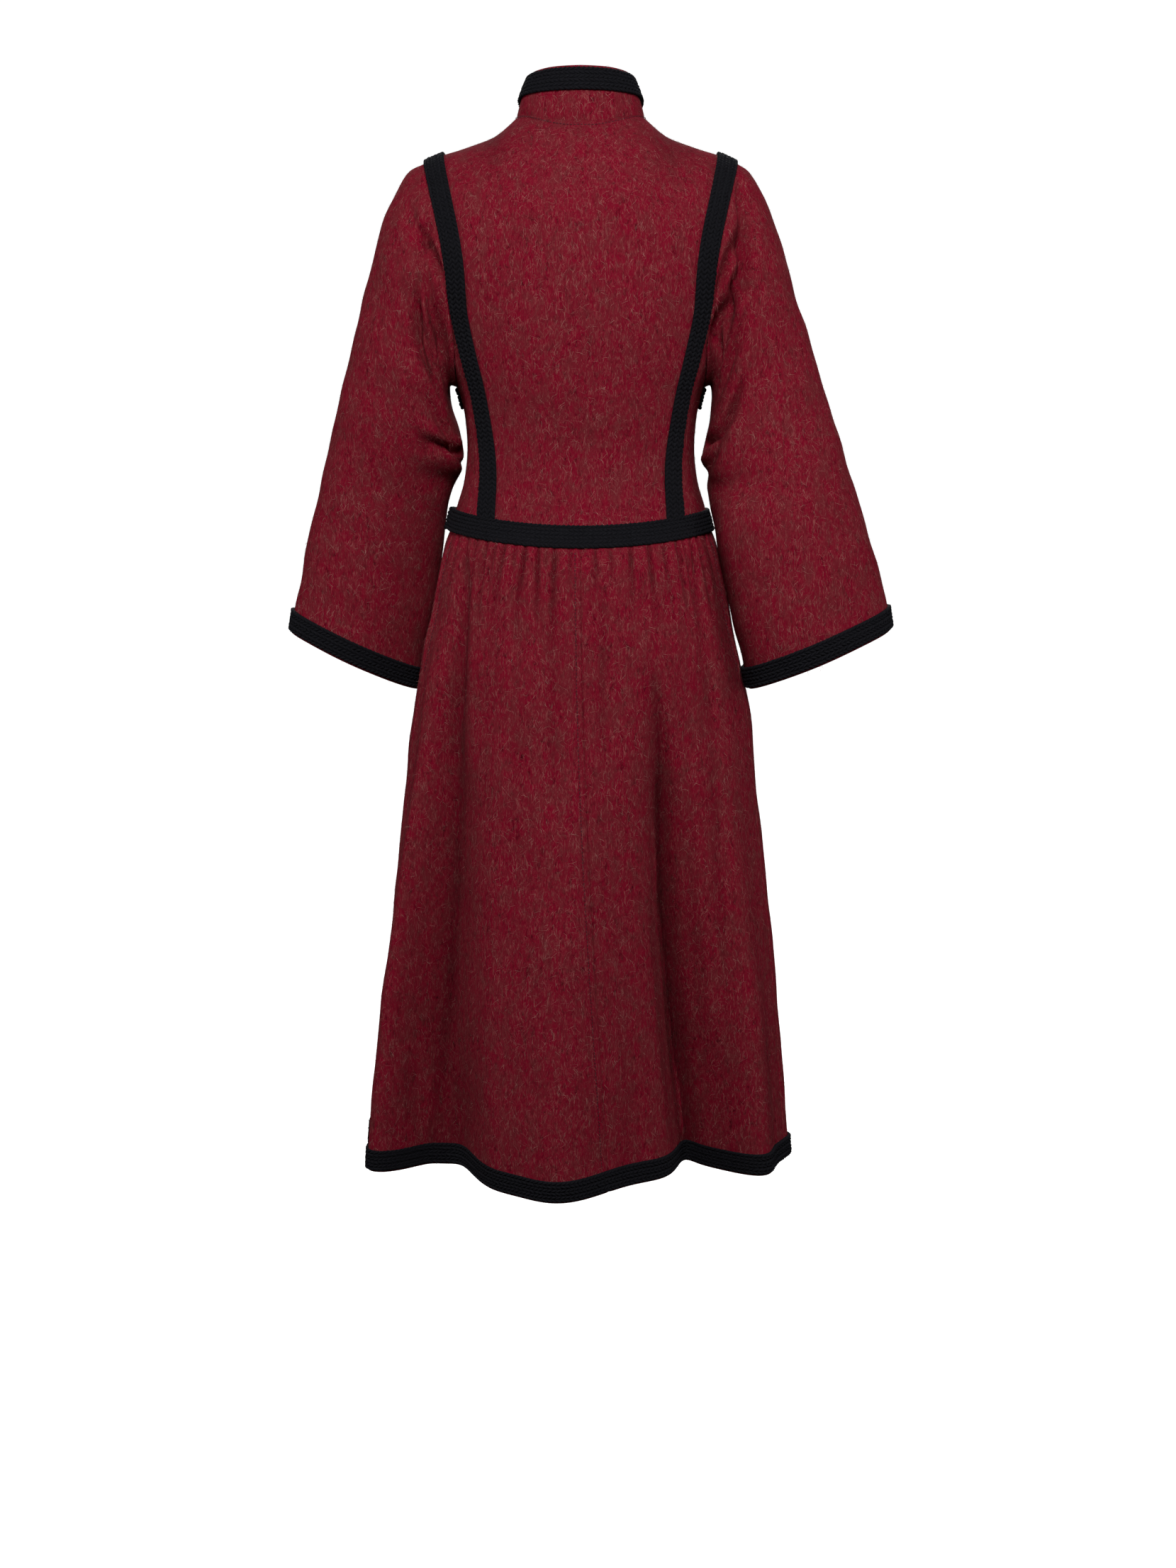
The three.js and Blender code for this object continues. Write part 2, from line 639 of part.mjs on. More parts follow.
// Front bodice: from its overlapped edge to the side seam, the armhole and the shoulder
function frontBodice(side) {
  const edge = (level) => {
    const z = heightAt(140, level);
    if (z < underarmZ) return quarter;
    return Math.PI - edgeTurn(armhole.front, level);
  };
  const low = (waistAt(quarter) - chestZ) / levelSpan;
  const pit = ((underarmZ - chestZ) / levelSpan - low) / (shoulderTop - low);
  const surface = (lift) => (u, v) => {
    const outer = edge(lerp(low, shoulderTop, v)) + sideTrim;
    const past = Math.asin(overlapHalf / bodice.half(heightAt(0, lerp(low, 0, Math.min(v * 1.4, 1)))));
    const pull = past * Math.max(1 - u / frontPull, 0) ** 2;
    const turn = lerp(Math.PI, outer, u) + pull;
    const bottom = (waistAt(turn) + waistGap - chestZ) / levelSpan;
    const topTurn = lerp(0, tipTurn, u) - pull;
    const level = lerp(bottom, panelTop(topTurn, false), v);
    const rise = side.way < 0 ? overlapRise(-bodicePoint(turn, level).x) : 0;
    return toSide(bodiceRaised(turn, level, lift + rise), side.way);
  };
  const columns = [...neckShares(neckStepsFront), ...steps(neckTurn / tipTurn, 4, 1).slice(1)];
  const rows = steps(0, 6, pit, 8, 0.85, 4, 1);
  addCloth(`front_${side.name}`, wallSolid(columns, rows, surface(0), surface(-wall)));
}

// Sleeve: one wide piece, a tube from the armhole seam to the cuff
function sleeve(side) {
  const surface = (lift) => (round, along) => {
    const point = sleeveRaised(side.name, round, along, lift);
    point.x += armholeGap * (1 - along);
    return toSide(point, side.way);
  };
  const rounds = steps(0, sleeveColumns, 1).slice(0, -1);
  const rows = steps(0, 3, 0.1, 2, 0.22, 3, 0.5, 4, 1);
  addCloth(`sleeve_${side.name}`, wallSolid(rounds, rows, surface(0), surface(-wall), true));
}

// Turn of the skirt's centre back seam, which drifts to the wearer's right as it falls
function backSeamTurn(z) {
  return degToRad(backSeamDrift) * smoothstep(-z, -waistZ, -hemZ * 1.3);
}

// Half the gape of the pocket slit at a height, as a turn
function slitTurn(z) {
  const share = THREE.MathUtils.clamp((z - pocketTop) / (pocketBottom - pocketTop), 0, 1);
  return (pocketGape * Math.sin(Math.PI * share) ** 0.6 + seamGap / 2) / skirt.half(z);
}

const skirtLength = waistZ - hemZ;
const hemBraidTop = skirtLength - clothEdge - braidWide;
const skirtDrops = [0, 14, 26, 42, 66, 100, 158, 250, 370, 520, hemBraidTop, skirtLength];

// Back half of the skirt: from the centre back seam to the side seam
function skirtBack(side) {
  const surface = (lift) => (u, drop) => {
    const share = drop / skirtLength;
    const guess = waistZ - drop;
    const centre = backSeamTurn(guess) + (side.way * seamGap) / 2 / skirt.back(guess);
    const seam = side.way * (degToRad(sideSeam) - slitTurn(guess));
    const turn = lerp(centre, seam, u);
    const z = lerp(waistAt(turn) - waistGap, hemZ, share);
    return skirtRaised(turn, z, lift);
  };
  const columns = steps(0, gathersBack * 4, 1);
  addCloth(`skirt_back_${side.name}`, wallSolid(columns, skirtDrops, surface(0), surface(-wall)));
}

// Front half of the skirt: from its overlapped edge to the side seam
function skirtFront(side) {
  const surface = (lift) => (u, drop) => {
    const share = drop / skirtLength;
    const guess = waistZ - drop;
    const centre = Math.PI + Math.asin(overlapHalf / skirt.half(guess));
    const seam = degToRad(sideSeam) + slitTurn(guess);
    const turn = lerp(centre, seam, u) * side.way;
    const z = lerp(waistAt(turn) - waistGap, hemZ, share);
    const rise = side.way < 0 ? overlapRise(planPoint(skirt, turn, z).x) : 0;
    return skirtRaised(turn, z, lift + rise);
  };
  const columns = steps(0, gathersFront * 4, 1);
  addCloth(`skirt_front_${side.name}`, wallSolid(columns, skirtDrops, surface(0), surface(-wall)));
}

// Point of the standing collar. Around runs from one front edge by way of the back to the other,
// and rise runs from the neck seam to the top edge.
function collarPoint(around, rise) {
  const place = neckPlace(around);
  const base = bodicePoint(place.turn, place.level);
  base.z += collarGap * (1 + smoothstep(-Math.cos(around), 0.3, 1));
  if (base.y < 0 && base.x < 0) base.z += overlapRise(base.x) * 0.6;
  const depth = Math.cos(around) >= 0 ? collarTopBack : collarTopFront;
  const top = new THREE.Vector3(collarTopHalf * Math.sin(around), depth * Math.cos(around),
    collarTop(radToDeg(Math.abs(around))));
  const point = base.clone().lerp(top, rise);
  const bow = 1.5 * Math.sin(Math.PI * rise);
  const out = new THREE.Vector3(Math.sin(around), Math.cos(around), 0);
  return point.addScaledVector(out, bow);
}

// Point of the collar moved out, level with the ground
function collarRaised(around, rise, lift) {
  const step = 0.01;
  const along = collarPoint(around + step, rise).sub(collarPoint(around - step, rise));
  const out = new THREE.Vector3(-along.y, along.x, 0).normalize();
  if (out.dot(new THREE.Vector3(Math.sin(around), Math.cos(around), 0)) < 0) out.negate();
  return collarPoint(around, rise).addScaledVector(out, lift);
}

const collarEnd = Math.PI - 0.5 / collarTopFront;

// Standing collar, and the braid along its top edge
function collar() {
  const columns = steps(-collarEnd, neckStepsFront, -quarter, neckStepsBack * 2, quarter,
    neckStepsFront, collarEnd);
  const cloth = (lift) => (around, rise) => collarRaised(around, rise, lift);
  addCloth('collar', wallSolid(columns, steps(0, 3, 1), cloth(0), cloth(-wall)));
  const braid = (lift) => (around, across) => {
    const tall = collarPoint(around, 1).distanceTo(collarPoint(around, 0));
    return collarRaised(around, 1 - (clothEdge + across * braidWide) / tall, lift);
  };
  const rows = [0, 0.5, 1];
  addBraid('braid_collar', wallSolid(columns, rows, braid(braidLift + braidThick), braid(braidLift)));
}

// Turn and level of the bodice under a point that lies on it
function placeOf(point) {
  const level = levelAt(point.x, point.z);
  const backwards = point.y >= 0;
  let turn = turnAt(point.x, point.z);
  if (level <= 0 && turn > 1.1) {
    const share = Math.min(Math.abs(point.y) / (backwards ? bodice.back : bodice.front)(point.z), 1);
    const square = bodice.square(point.z);
    turn = Math.asin((1 - share ** square) ** (1 / square));
  }
  return { turn: backwards ? turn : Math.PI - turn, level };
}

// Nearest place of the bodice to a point, found by sliding along the form from a first place
function settle(point, first) {
  const place = { ...first };
  const step = 0.001;
  for (let k = 0; k < 6; k += 1) {
    const off = point.clone().sub(bodicePoint(place.turn, place.level));
    const byTurn = bodicePoint(place.turn + step, place.level)
      .sub(bodicePoint(place.turn - step, place.level)).divideScalar(2 * step);
    const byLevel = bodicePoint(place.turn, place.level + step)
      .sub(bodicePoint(place.turn, place.level - step)).divideScalar(2 * step);
    const tt = byTurn.lengthSq();
    const ll = byLevel.lengthSq();
    const tl = byTurn.dot(byLevel);
    const size = tt * ll - tl * tl;
    if (size < 1) break;
    place.turn += (off.dot(byTurn) * ll - off.dot(byLevel) * tl) / size;
    place.level += (off.dot(byLevel) * tt - off.dot(byTurn) * tl) / size;
  }
  return place;
}

// Place of the bodice a distance inside the armhole seam
function insetPlace(round, distance) {
  const step = 0.004;
  const seam = armholePoint(round);
  const along = armholePoint(round + step).sub(armholePoint(round - step)).normalize();
  const place = placeOf(seam);
  const out = outward(bodicePoint, place.turn, Math.min(place.level, 0.995), chestCentre);
  const inward = out.cross(along).normalize();
  if (inward.dot(armholePoint(round + 0.5).sub(seam)) > 0) inward.negate();
  return settle(seam.addScaledVector(inward, distance), place);
}

// Places down the middle of the braid that climbs the princess seam, passes up the back of the armhole,
// over the shoulder, down its front and under the arm
function armholeBraidPlaces() {
  const lowest = waistAt(turnAt(princess(-394), -394)) + braidWide / 2 + 3;
  const places = steps(lowest, 7, -222).map((z) => ({ turn: turnAt(princess(z), z), level: levelAt(0, z) }));
  for (const round of steps(0.345, 8, 0.08, 9, -0.08, 13, -0.45, 10, stubEnd)) {
    places.push(insetPlace(round, braidWide / 2 + braidInset));
  }
  return places;
}

// Braid of one armhole and its princess seam, drawn in where its far end meets its own edge
function armholeBraid(side) {
  const places = armholeBraidPlaces();
  const middles = places.map((place) => bodicePoint(place.turn, place.level));
  const surface = (lift) => (across, k) => {
    const before = middles[Math.max(k - 1, 0)];
    const after = middles[Math.min(k + 1, middles.length - 1)];
    const along = after.clone().sub(before).normalize();
    const out = outward(bodicePoint, places[k].turn, places[k].level, chestCentre);
    const sideways = along.cross(out).normalize();
    const point = middles[k].clone().addScaledVector(sideways, across * braidWide / 2);
    if (k > middles.length - 11 && point.y > 0) {
      const edge = princess(Math.min(point.z, princessTop)) + braidWide / 2 + braidInset * 2;
      point.x = Math.max(point.x, edge);
      point.y = bodicePoint(turnAt(point.x, point.z), levelAt(0, point.z)).y;
    }
    const place = settle(point, places[k]);
    const normal = outward(bodicePoint, place.turn, place.level, chestCentre);
    return toSide(bodicePoint(place.turn, place.level).addScaledVector(normal, lift), side.way);
  };
  const stations = places.map((place, k) => k);
  const solid = wallSolid([-1, 0, 1], stations, surface(braidLift + braidThick), surface(braidLift));
  addBraid(`braid_armhole_${side.name}`, solid);
}

// Turns round a braid that starts at the right front's edge and ends beside it on the left front,
// with a stop at each column of the panels that it covers
function roundTurns(half, perFront, perBack) {
  const past = Math.asin(overlapHalf / half);
  const short = Math.asin((overlapHalf + 1) / half);
  const side = degToRad(sideSeam);
  return steps(-Math.PI - past, perFront, -side, perBack, 0, perBack, side, perFront, Math.PI - short);
}

// Rise of the cloth under a braid where the fronts overlap
function frontRise(turn, z) {
  return Math.abs(turn) > quarter ? overlapRise(planPoint(skirt, turn, z).x) : 0;
}

// Braid over the waist seam, half on the bodice and half on the skirt
function waistBraid() {
  const surface = (lift) => (turn, down) => {
    const z = waistAt(turn) - down * braidWide / 2;
    const rise = lift + frontRise(turn, z);
    if (down < 0) return bodiceRaised(turn, (z - chestZ) / levelSpan, rise);
    return skirtRaised(turn, z, rise);
  };
  const turns = roundTurns(skirt.half(waistZ), gathersFront * 4, gathersBack * 2);
  const solid = wallSolid(turns, [-1, 0, 1], surface(braidLift + braidThick), surface(braidLift));
  addBraid('braid_waist', solid);
}

// Braid round the hem, just above the cut edge of the cloth
function hemBraid() {
  const surface = (lift) => (turn, up) => {
    const z = hemZ + clothEdge + up * braidWide;
    return skirtRaised(turn, z, lift + frontRise(turn, z));
  };
  const turns = roundTurns(skirt.half(hemZ), gathersFront * 4, gathersBack * 4);
  addBraid('braid_hem', wallSolid(turns, [0, 1], surface(braidLift + braidThick), surface(braidLift)));
}

// Braid round a cuff
function cuffBraid(side) {
  const surface = (lift) => (round, up) => {
    const step = 0.02;
    const above = sleevePoint(side.name, round, 1 - step);
    const length = sleevePoint(side.name, round, 1).distanceTo(above) / step;
    const along = 1 - (clothEdge + up * braidWide) / length;
    const point = sleeveRaised(side.name, round, along, lift);
    point.x += armholeGap * (1 - along);
    return toSide(point, side.way);
  };
  const rounds = steps(0, sleeveColumns, 1).slice(0, -1);
  const solid = wallSolid(rounds, [0, 1], surface(braidLift + braidThick), surface(braidLift), true);
  addBraid(`braid_cuff_${side.name}`, solid);
}

// Plain domed button with a flat back
function button(index, z) {
  const outline = [[0, 0], [0.82, 0], [1, 0.3], [1, 0.62], [0.86, 0.96], [0.6, 0.84], [0, 0.8]];
  const profile = outline.map(([r, h]) => new THREE.Vector2(r * buttonHalf, h * buttonThick));
  const geometry = new THREE.LatheGeometry(profile, 16);
  const lift = overlapLift + seamGap * 2.5;
  const onBodice = z > waistZ;
  const at = (out) => (onBodice ? bodiceRaised(Math.PI, levelAt(0, z), out) : skirtRaised(Math.PI, z, out));
  const seat = at(lift);
  const out = at(lift + 1).sub(seat).normalize();
  const turn = new THREE.Quaternion().setFromUnitVectors(new THREE.Vector3(0, 1, 0), out);
  geometry.applyQuaternion(turn).translate(seat.x, seat.y, seat.z);
  addPiece(`button_${index + 1}`, geometry, hornBlack, 0.4);
}

backBodice();
for (const side of sides) {
  sideBack(side);
  frontBodice(side);
  sleeve(side);
  skirtBack(side);
  skirtFront(side);
  armholeBraid(side);
  cuffBraid(side);
}
collar();
waistBraid();
hemBraid();
buttonHeights.forEach((z, index) => button(index, z));

export default coat;
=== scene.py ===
import math

import bpy
import numpy as np
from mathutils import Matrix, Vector


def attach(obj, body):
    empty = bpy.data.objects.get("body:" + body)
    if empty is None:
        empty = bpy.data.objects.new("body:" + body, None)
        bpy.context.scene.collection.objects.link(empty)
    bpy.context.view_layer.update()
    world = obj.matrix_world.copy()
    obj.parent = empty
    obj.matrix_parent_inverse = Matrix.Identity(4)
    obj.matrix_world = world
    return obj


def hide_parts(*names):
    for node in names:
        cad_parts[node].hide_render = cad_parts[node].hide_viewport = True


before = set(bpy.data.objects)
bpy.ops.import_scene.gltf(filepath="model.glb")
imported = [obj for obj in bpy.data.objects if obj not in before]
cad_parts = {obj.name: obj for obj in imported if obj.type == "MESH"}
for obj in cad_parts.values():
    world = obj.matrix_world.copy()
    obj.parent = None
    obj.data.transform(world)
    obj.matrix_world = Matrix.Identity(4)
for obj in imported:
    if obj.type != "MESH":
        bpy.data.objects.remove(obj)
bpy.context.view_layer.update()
print("stage 1: frame loaded,", len(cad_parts), "nodes")

# The coat's own sizes in millimetres, as in the solids. The wearer faces -Y, so the back is +Y.
size = {
    "wall": 3.0, "armholeGap": 0.4,
    "chestZ": -110.0, "underarmZ": -246.0, "tipZ": -6.0, "waistZ": -399.5, "waistDip": 7.5,
    "hemZ": -1131.0, "levelSpan": 200.0,
    "neckHalf": 70.0, "neckBack": 60.0, "neckFront": 90.0,
    "collarTopHalf": 55.0, "collarTopBack": 54.0, "collarTopFront": 74.0,
    "overlapHalf": 20.0, "overlapLift": 4.2, "overlapRamp": 24.0, "overlapPast": 8.0, "frontPull": 0.3,
    "sideSeam": 76.0, "backSeamDrift": -9.0, "seamDip": 1.5, "seamSpread": 1.7,
    "pocketTop": -415.0, "pocketBottom": -565.0, "pocketGape": 3.4,
    "princessTop": -192.0, "princessFoot": -394.0,
}
# Rough widths and heights of panels, for the distance of their cloth from a seam
panel = {
    "bodiceHigh": 110.0, "sideWide": 62.0, "sideHigh": 190.0, "frontWide": 130.0,
    "skirtBackWide": 230.0, "skirtFrontWide": 260.0, "collarHigh": 40.0,
}
# Pocket edges: how high the folded lip stands, where and how wide, and the dip at the very edge
pocketLook = {"lip": 1.7, "lipAt": 3.6, "lipWide": 2.6, "dip": 1.2, "dipWide": 1.0, "stitchAt": 8.5}
# Braid: width, lift off the cloth and ground thickness, the cloth edge that shows past it, and its stitches
braidLook = {
    "wide": 24.0, "lift": 0.44, "under": 2.0, "clothEdge": 2.0, "inset": 1.0, "stubEnd": -0.5,
    "columns": 3, "pitch": 5.2, "legWide": 3.3, "legHigh": 2.3, "uneven": 0.22,
}
# Gathers below the waist: where they start below the seam, in millimetres, and how strong they are
gatherLook = {"plain": 7.0, "full": 20.0, "strength": 0.95, "puff": 2.6}
# Long creases: millimetres to a degree at the hips, and how slowly a crease fades past its ends
creaseLook = {"perDegree": 3.1, "pastEnd": 0.16}
# Sleeve creases: millimetres to a degree round a sleeve and to its whole length
sleeveLook = {"perDegree": 1.3, "long": 560.0}
# Nap: fibres to each square centimetre, their length, width and how far they stand off
napLook = {"perCm2": 7.6, "long": 5.6, "wide": 0.2, "stand": 1.1, "droop": 1.0, "stray": 0.62}
# Painted shade in folds: cloth and nap are darkened where they lie in a fold. Broad folds and fine ones, each
# as reach and depth in millimetres, and how dark the deepest get
foldShadeLook = {"scales": ((23.0, 14.0), (8.0, 4.5)), "dark": 0.8}
# Painted shade on the sleeve's inner side beside the body: its place and width in degrees, and its share
innerShadeLook = {"round": 186.0, "wide": 26.0, "share": 0.62}
# Sewing thread of the topstitching
stitchLook = {"long": 2.6, "gap": 1.2, "wide": 0.55, "high": 0.35}
buttonLook = {"half": 11.0, "thick": 5.0, "heights": (-30, -120, -210, -300, -460, -550), "hole": 1.15}
# Colours as sRGB hex
colours = {
    "wool": "800c26", "woolDark": "3e030e", "woolBrown": "6c282c", "woolTan": "a0665f", "woolSheen": "d08a86",
    "napRed": "7a1427", "napMid": "8c4648", "napTan": "bb8b81",
    "braid": "060609", "braidLight": "1b1b21", "braidSheen": "6d6d78",
    "horn": "161416", "hornCloud": "2d2725", "hornHole": "060506",
    "thread": "561020", "threadDark": "3a0a16", "floor": "f1f0ee", "floorDim": "efeeec", "white": "ffffff",
}
# Camera at the photograph's place, in metres and degrees
cameraLook = {"place": (-0.008, 2.46, -0.29), "down": 9.3, "lens": 50, "sensor": 36}
# Studio in millimetres: height of the floor, its flat reach, the round bend up to a wall and the wall's top
studio = {
    "floorZ": -1500, "flat": 3000, "bend": 1600, "wallTop": 4200,
    "air": (1, 0.8, 0.82, 1), "airStrength": 0.03,
}
# Lights as place and aim in metres, width and height, and watts
lights = {
    "soft_key": ((0.0, 2.45, 1.1), (0, 0, -0.35), (0.9, 0.7), 58),
    "side_left": ((2.3, 0.9, 0.3), (0, 0, -0.4), (0.6, 1.8), 15),
    "side_right": ((-2.3, 0.9, 0.3), (0, 0, -0.4), (0.6, 1.8), 15),
    "front_fill": ((0.0, -2.6, 1.4), (0, 0, -0.5), (2.4, 1.8), 62),
}
seed = 2901
quarter = math.pi / 2

# Bodice at each height: half its width, depth behind and before, and how square its plan is
bodiceTable = {
    "z": (-425, -400, -375, -350, -315, -280, -257, -246, -225, -200, -161, -132, -110, -88),
    "half": (150, 145, 138, 130.5, 126.5, 128.5, 133, 136.5, 145, 153, 168, 183, 191, 194),
    "back": (104, 100, 96, 93, 93, 98, 102, 104, 107, 110, 113, 113, 112, 111.5),
    "front": (101, 98, 97, 99, 106, 117, 124, 126, 128, 127, 119, 111.5, 108, 107),
    "square": (2.2, 2.2, 2.25, 2.3, 2.3, 2.3, 2.3, 2.3, 2.3, 2.3, 2.3, 2.3, 2.3, 2.3),
}
# Height of the shoulder line at each distance from the middle
shoulderTable = {
    "x": (0, 40, 60, 70, 84, 96, 115, 133, 150, 171, 192),
    "z": (60, 55, 49, 41.5, 29, 21, 14, 8, 3, -6, -18),
}
# Armhole seam at each height: its distance from the middle, behind and before
armholeTable = {
    "z": (-246, -243, -232, -210, -185, -161, -130, -101, -70, -45, -20, -6),
    "back": (136.5, 136.9, 137.8, 137.6, 138.5, 141, 143.5, 147.5, 154.5, 160.5, 167.5, 171),
    "front": (136.5, 136, 134.5, 132, 131, 132.5, 136, 141, 149, 157, 166, 171),
}
# Princess seam at each height: its distance from the middle
princessTable = {
    "z": (-420, -394, -371, -340, -310, -280, -250, -220, -190, -161),
    "x": (103.5, 103, 102, 100, 102, 106, 111.5, 117.5, 123, 129),
}
# Skirt at each height, as the bodice
skirtTable = {
    "z": (-1160, -1000, -854, -688, -600, -552, -500, -445, -420, -400, -385),
    "half": (250, 238, 221.5, 201, 190, 181, 169, 155.5, 149, 145, 141),
    "back": (104, 112, 122, 130, 131, 130, 126, 117, 109, 100, 96),
    "front": (150, 146, 141, 134, 129, 126, 121, 112, 105, 98, 96),
    "square": (2, 2, 2, 2, 2.05, 2.1, 2.1, 2.15, 2.2, 2.2, 2.2),
}
# Long creases of the skirt: two ends as degrees and height, depth (a ridge if it is below 0) and width
dragRows = (
    (28, -520, 25, -1000, -4, 14), (64, -600, 60, -1000, -5, 12), (-52, -450, -46, -800, 4, 13),
    (12, -450, 9, -640, 3, 10), (-9, -450, -7, -600, 3, 10), (104, -460, 98, -900, 9, 16),
    (-101, -450, -96, -900, 9, 16), (140, -460, 134, -900, 8, 18), (-128, -460, -122, -860, 9, 16),

)
# Deep folds that hang down the skirt: at each height their place in degrees, depth in millimetres (a ridge
# if it is below 0) and how far they reach towards the centre back and away from it
deepFolds = (
    {
        "z": (-425, -480, -560, -708, -826, -947, -1090), "place": (55, 53, 51, 50, 49.5, 49.5, 49),
        "deep": (6, 13, 20, 34, 38, 37, 27), "inner": (9, 12, 20, 33, 37, 37, 36),
        "outer": (8, 9, 13, 21, 25, 25, 25),
    },
    {
        "z": (-540, -591, -708, -826, -947, -1029, -1100),
        "place": (-26.5, -26.8, -28.6, -28.4, -30.0, -31.6, -33.2),
        "deep": (0, 9, 25, 33, 33, 29, 19), "inner": (16, 20, 26, 28, 28, 26, 26),
        "outer": (9, 10, 11, 12, 12, 13, 14),
    },
    {
        "z": (-600, -708, -826, -947, -1060), "place": (34, 34, 34, 34, 34),
        "deep": (0, -7, -12, -14, -3), "inner": (26, 26, 26, 26, 26), "outer": (24, 24, 24, 24, 24),
    },
    {
        "z": (-620, -708, -826, -947, -1060), "place": (-39, -39, -39, -39.5, -41),
        "deep": (0, -6, -9, -8, 0), "inner": (14, 14, 14, 14, 14), "outer": (18, 18, 18, 18, 18),
    },
)
# Hanging folds: place round from the centre back, height out at the hem, half width, start
foldRows = (
    (6, 62, 15, -560), (22, 12, 7, -640), (37, -34, 8, -520), (63, 30, 9, -600), (88, -10, 9, -640),
    (112, 13, 11, -560), (134, -24, 9, -600), (153, 16, 8, -560), (-34, -36, 9, -520),
    (-53, 24, 8, -600), (-76, -4, 8, -680), (-96, -16, 9, -620), (-118, 22, 10, -560),
    (-138, -22, 9, -620), (-156, 14, 8, -580),

)
# Small valleys pressed in below the waist: place in degrees, depth, half width in degrees, length
gatherRows = (
    (4.0, 3.0, 1.2, 84), (10.8, 6.2, 1.2, 132), (14.2, 3.8, 1.1, 76), (17.6, 6.4, 1.2, 142),
    (23.7, 6.6, 1.25, 128), (28.0, 3.8, 1.1, 92), (33.8, 5.4, 1.25, 116), (38.6, 4.2, 1.2, 88),
    (43.4, 5.6, 1.3, 138), (50.0, 5.2, 1.3, 122), (57.0, 4.2, 1.4, 98), (65.5, 3.6, 1.5, 88),
    (-6.0, 3.6, 1.2, 92), (-12.5, 3.0, 1.2, 80), (-21.0, 4.6, 1.25, 112), (-29.5, 5.2, 1.3, 130),
    (-37.0, 3.8, 1.2, 90), (-44.6, 6.4, 1.3, 128), (-49.0, 5.2, 1.2, 104), (-54.2, 4.4, 1.3, 92),
    (-59.6, 5.6, 1.4, 118), (-68.5, 3.4, 1.5, 82), (84.0, 3.8, 1.8, 100), (94.0, 4.8, 1.9, 120),
    (105.0, 4.2, 1.8, 108), (116.0, 5.0, 2.0, 124), (127.0, 4.4, 1.9, 104), (138.0, 4.8, 1.9, 118),
    (-84.0, 3.8, 1.8, 96), (-95.0, 4.6, 1.9, 112), (-106.0, 4.8, 1.8, 120), (-117.0, 4.0, 2.0, 104),
    (-128.0, 5.0, 1.9, 122), (-139.0, 4.2, 1.9, 108),

)
# Sleeves: at each share along, the outer and inner edge and the depth behind and before their middle
sleeveTables = {
    "left": {
        "along": (0, 0.04, 0.09, 0.16, 0.24, 0.33, 0.43, 0.54, 0.65, 0.77, 0.89, 1),
        "outX": (171, 188, 204, 219, 231, 245, 259, 276, 291, 307, 322, 332),
        "outY": (0, 0, 0, 0, -1, -2, -5, -9, -14, -20, -25, -28),
        "outZ": (-6, -15, -40, -75, -115, -165, -222, -287, -350, -412, -474, -520),
        "inX": (137, 145, 147.5, 143, 135, 131.5, 133, 150, 157, 166, 180, 190),
        "inY": (0, 0, 0, -1, -3, -6, -12, -36, -54, -58, -60, -60),
        "inZ": (-246, -244.5, -255, -275, -297, -320, -338, -374, -420, -472, -540, -588),
        "back": (69, 68, 67, 65, 63, 60, 57, 56, 55, 55, 56, 57),
        "front": (66, 65, 64, 63, 62, 61, 61, 61, 60, 60, 60, 60),
    },
    "right": {
        "along": (0, 0.04, 0.09, 0.16, 0.24, 0.33, 0.43, 0.54, 0.65, 0.77, 0.89, 1),
        "outX": (171, 184, 200, 215, 228, 242, 261, 280, 300, 320, 337, 347),
        "outY": (0, 0, 0, 0, 1, 3, 5, 7, 9, 10, 10, 10),
        "outZ": (-6, -15, -40, -75, -115, -165, -222, -287, -350, -414, -470, -512),
        "inX": (137, 144.5, 147, 144.5, 139, 134, 137, 144, 151, 162, 177, 190),
        "inY": (0, 0, 0, 1, 3, 7, 16, 32, 50, 56, 54, 50),
        "inZ": (-246, -244.5, -257, -279, -302, -324, -345, -378, -418, -472, -532, -577),
        "back": (69, 68, 67, 66, 65, 63, 61, 60, 59, 59, 60, 60),
        "front": (66, 65, 64, 62, 60, 58, 56, 55, 55, 56, 58, 60),
    },
}
# Sleeve creases: two ends as degrees from the outer edge by way of the back and share along, depth, width
creaseRows = {
    "left": (
        (42, 0.06, 118, 0.07, 11, 15), (78, 0.16, 138, 0.13, 8, 14), (120, 0.3, 172, 0.38, 9, 16),
        (112, 0.52, 168, 0.47, 7, 17), (196, 0.4, 262, 0.46, 9, 18), (240, 0.08, 306, 0.08, 7, 16),
    ),
    "right": (
        (36, 0.07, 122, 0.08, 12, 15), (84, 0.17, 142, 0.14, 8, 14), (112, 0.3, 170, 0.4, 11, 17),
        (118, 0.54, 172, 0.46, 7, 17), (192, 0.42, 258, 0.44, 9, 18), (236, 0.08, 300, 0.09, 7, 16),
    ),
}
# Sharper folds of the cloth beside the armhole and at the elbow, up to the seam itself
sharpRows = {
    "left": (
        (66, 0.05, 95, 0.012, 18, 7), (66, 0.052, 60, 0.02, 9, 6), (84, 0.12, 97, 0.2, 15, 12),
        (99, 0.2, 142, 0.185, 14, 12), (112, 0.445, 168, 0.32, 10, 9), (112, 0.4, 165, 0.28, -5, 12),
        (122, 0.05, 150, 0.06, 12, 13), (212, 0.3, 262, 0.42, 8, 11), (246, 0.06, 290, 0.03, 7, 8),
    ),
    "right": (
        (30, 0.02, 54, 0.075, 17, 8), (56, 0.08, 76, 0.12, 16, 9), (67, 0.06, 106, 0.02, 18, 9),
        (77, 0.11, 130, 0.025, 24, 10), (130, 0.03, 150, 0.07, 14, 12), (70, 0.085, 120, 0.022, -6, 6),
        (111, 0.275, 136, 0.3, 13, 9), (138, 0.3, 170, 0.265, 15, 9), (122, 0.36, 168, 0.34, -6, 14),
        (206, 0.3, 256, 0.4, 8, 11), (240, 0.06, 286, 0.03, 7, 8),
    ),
}
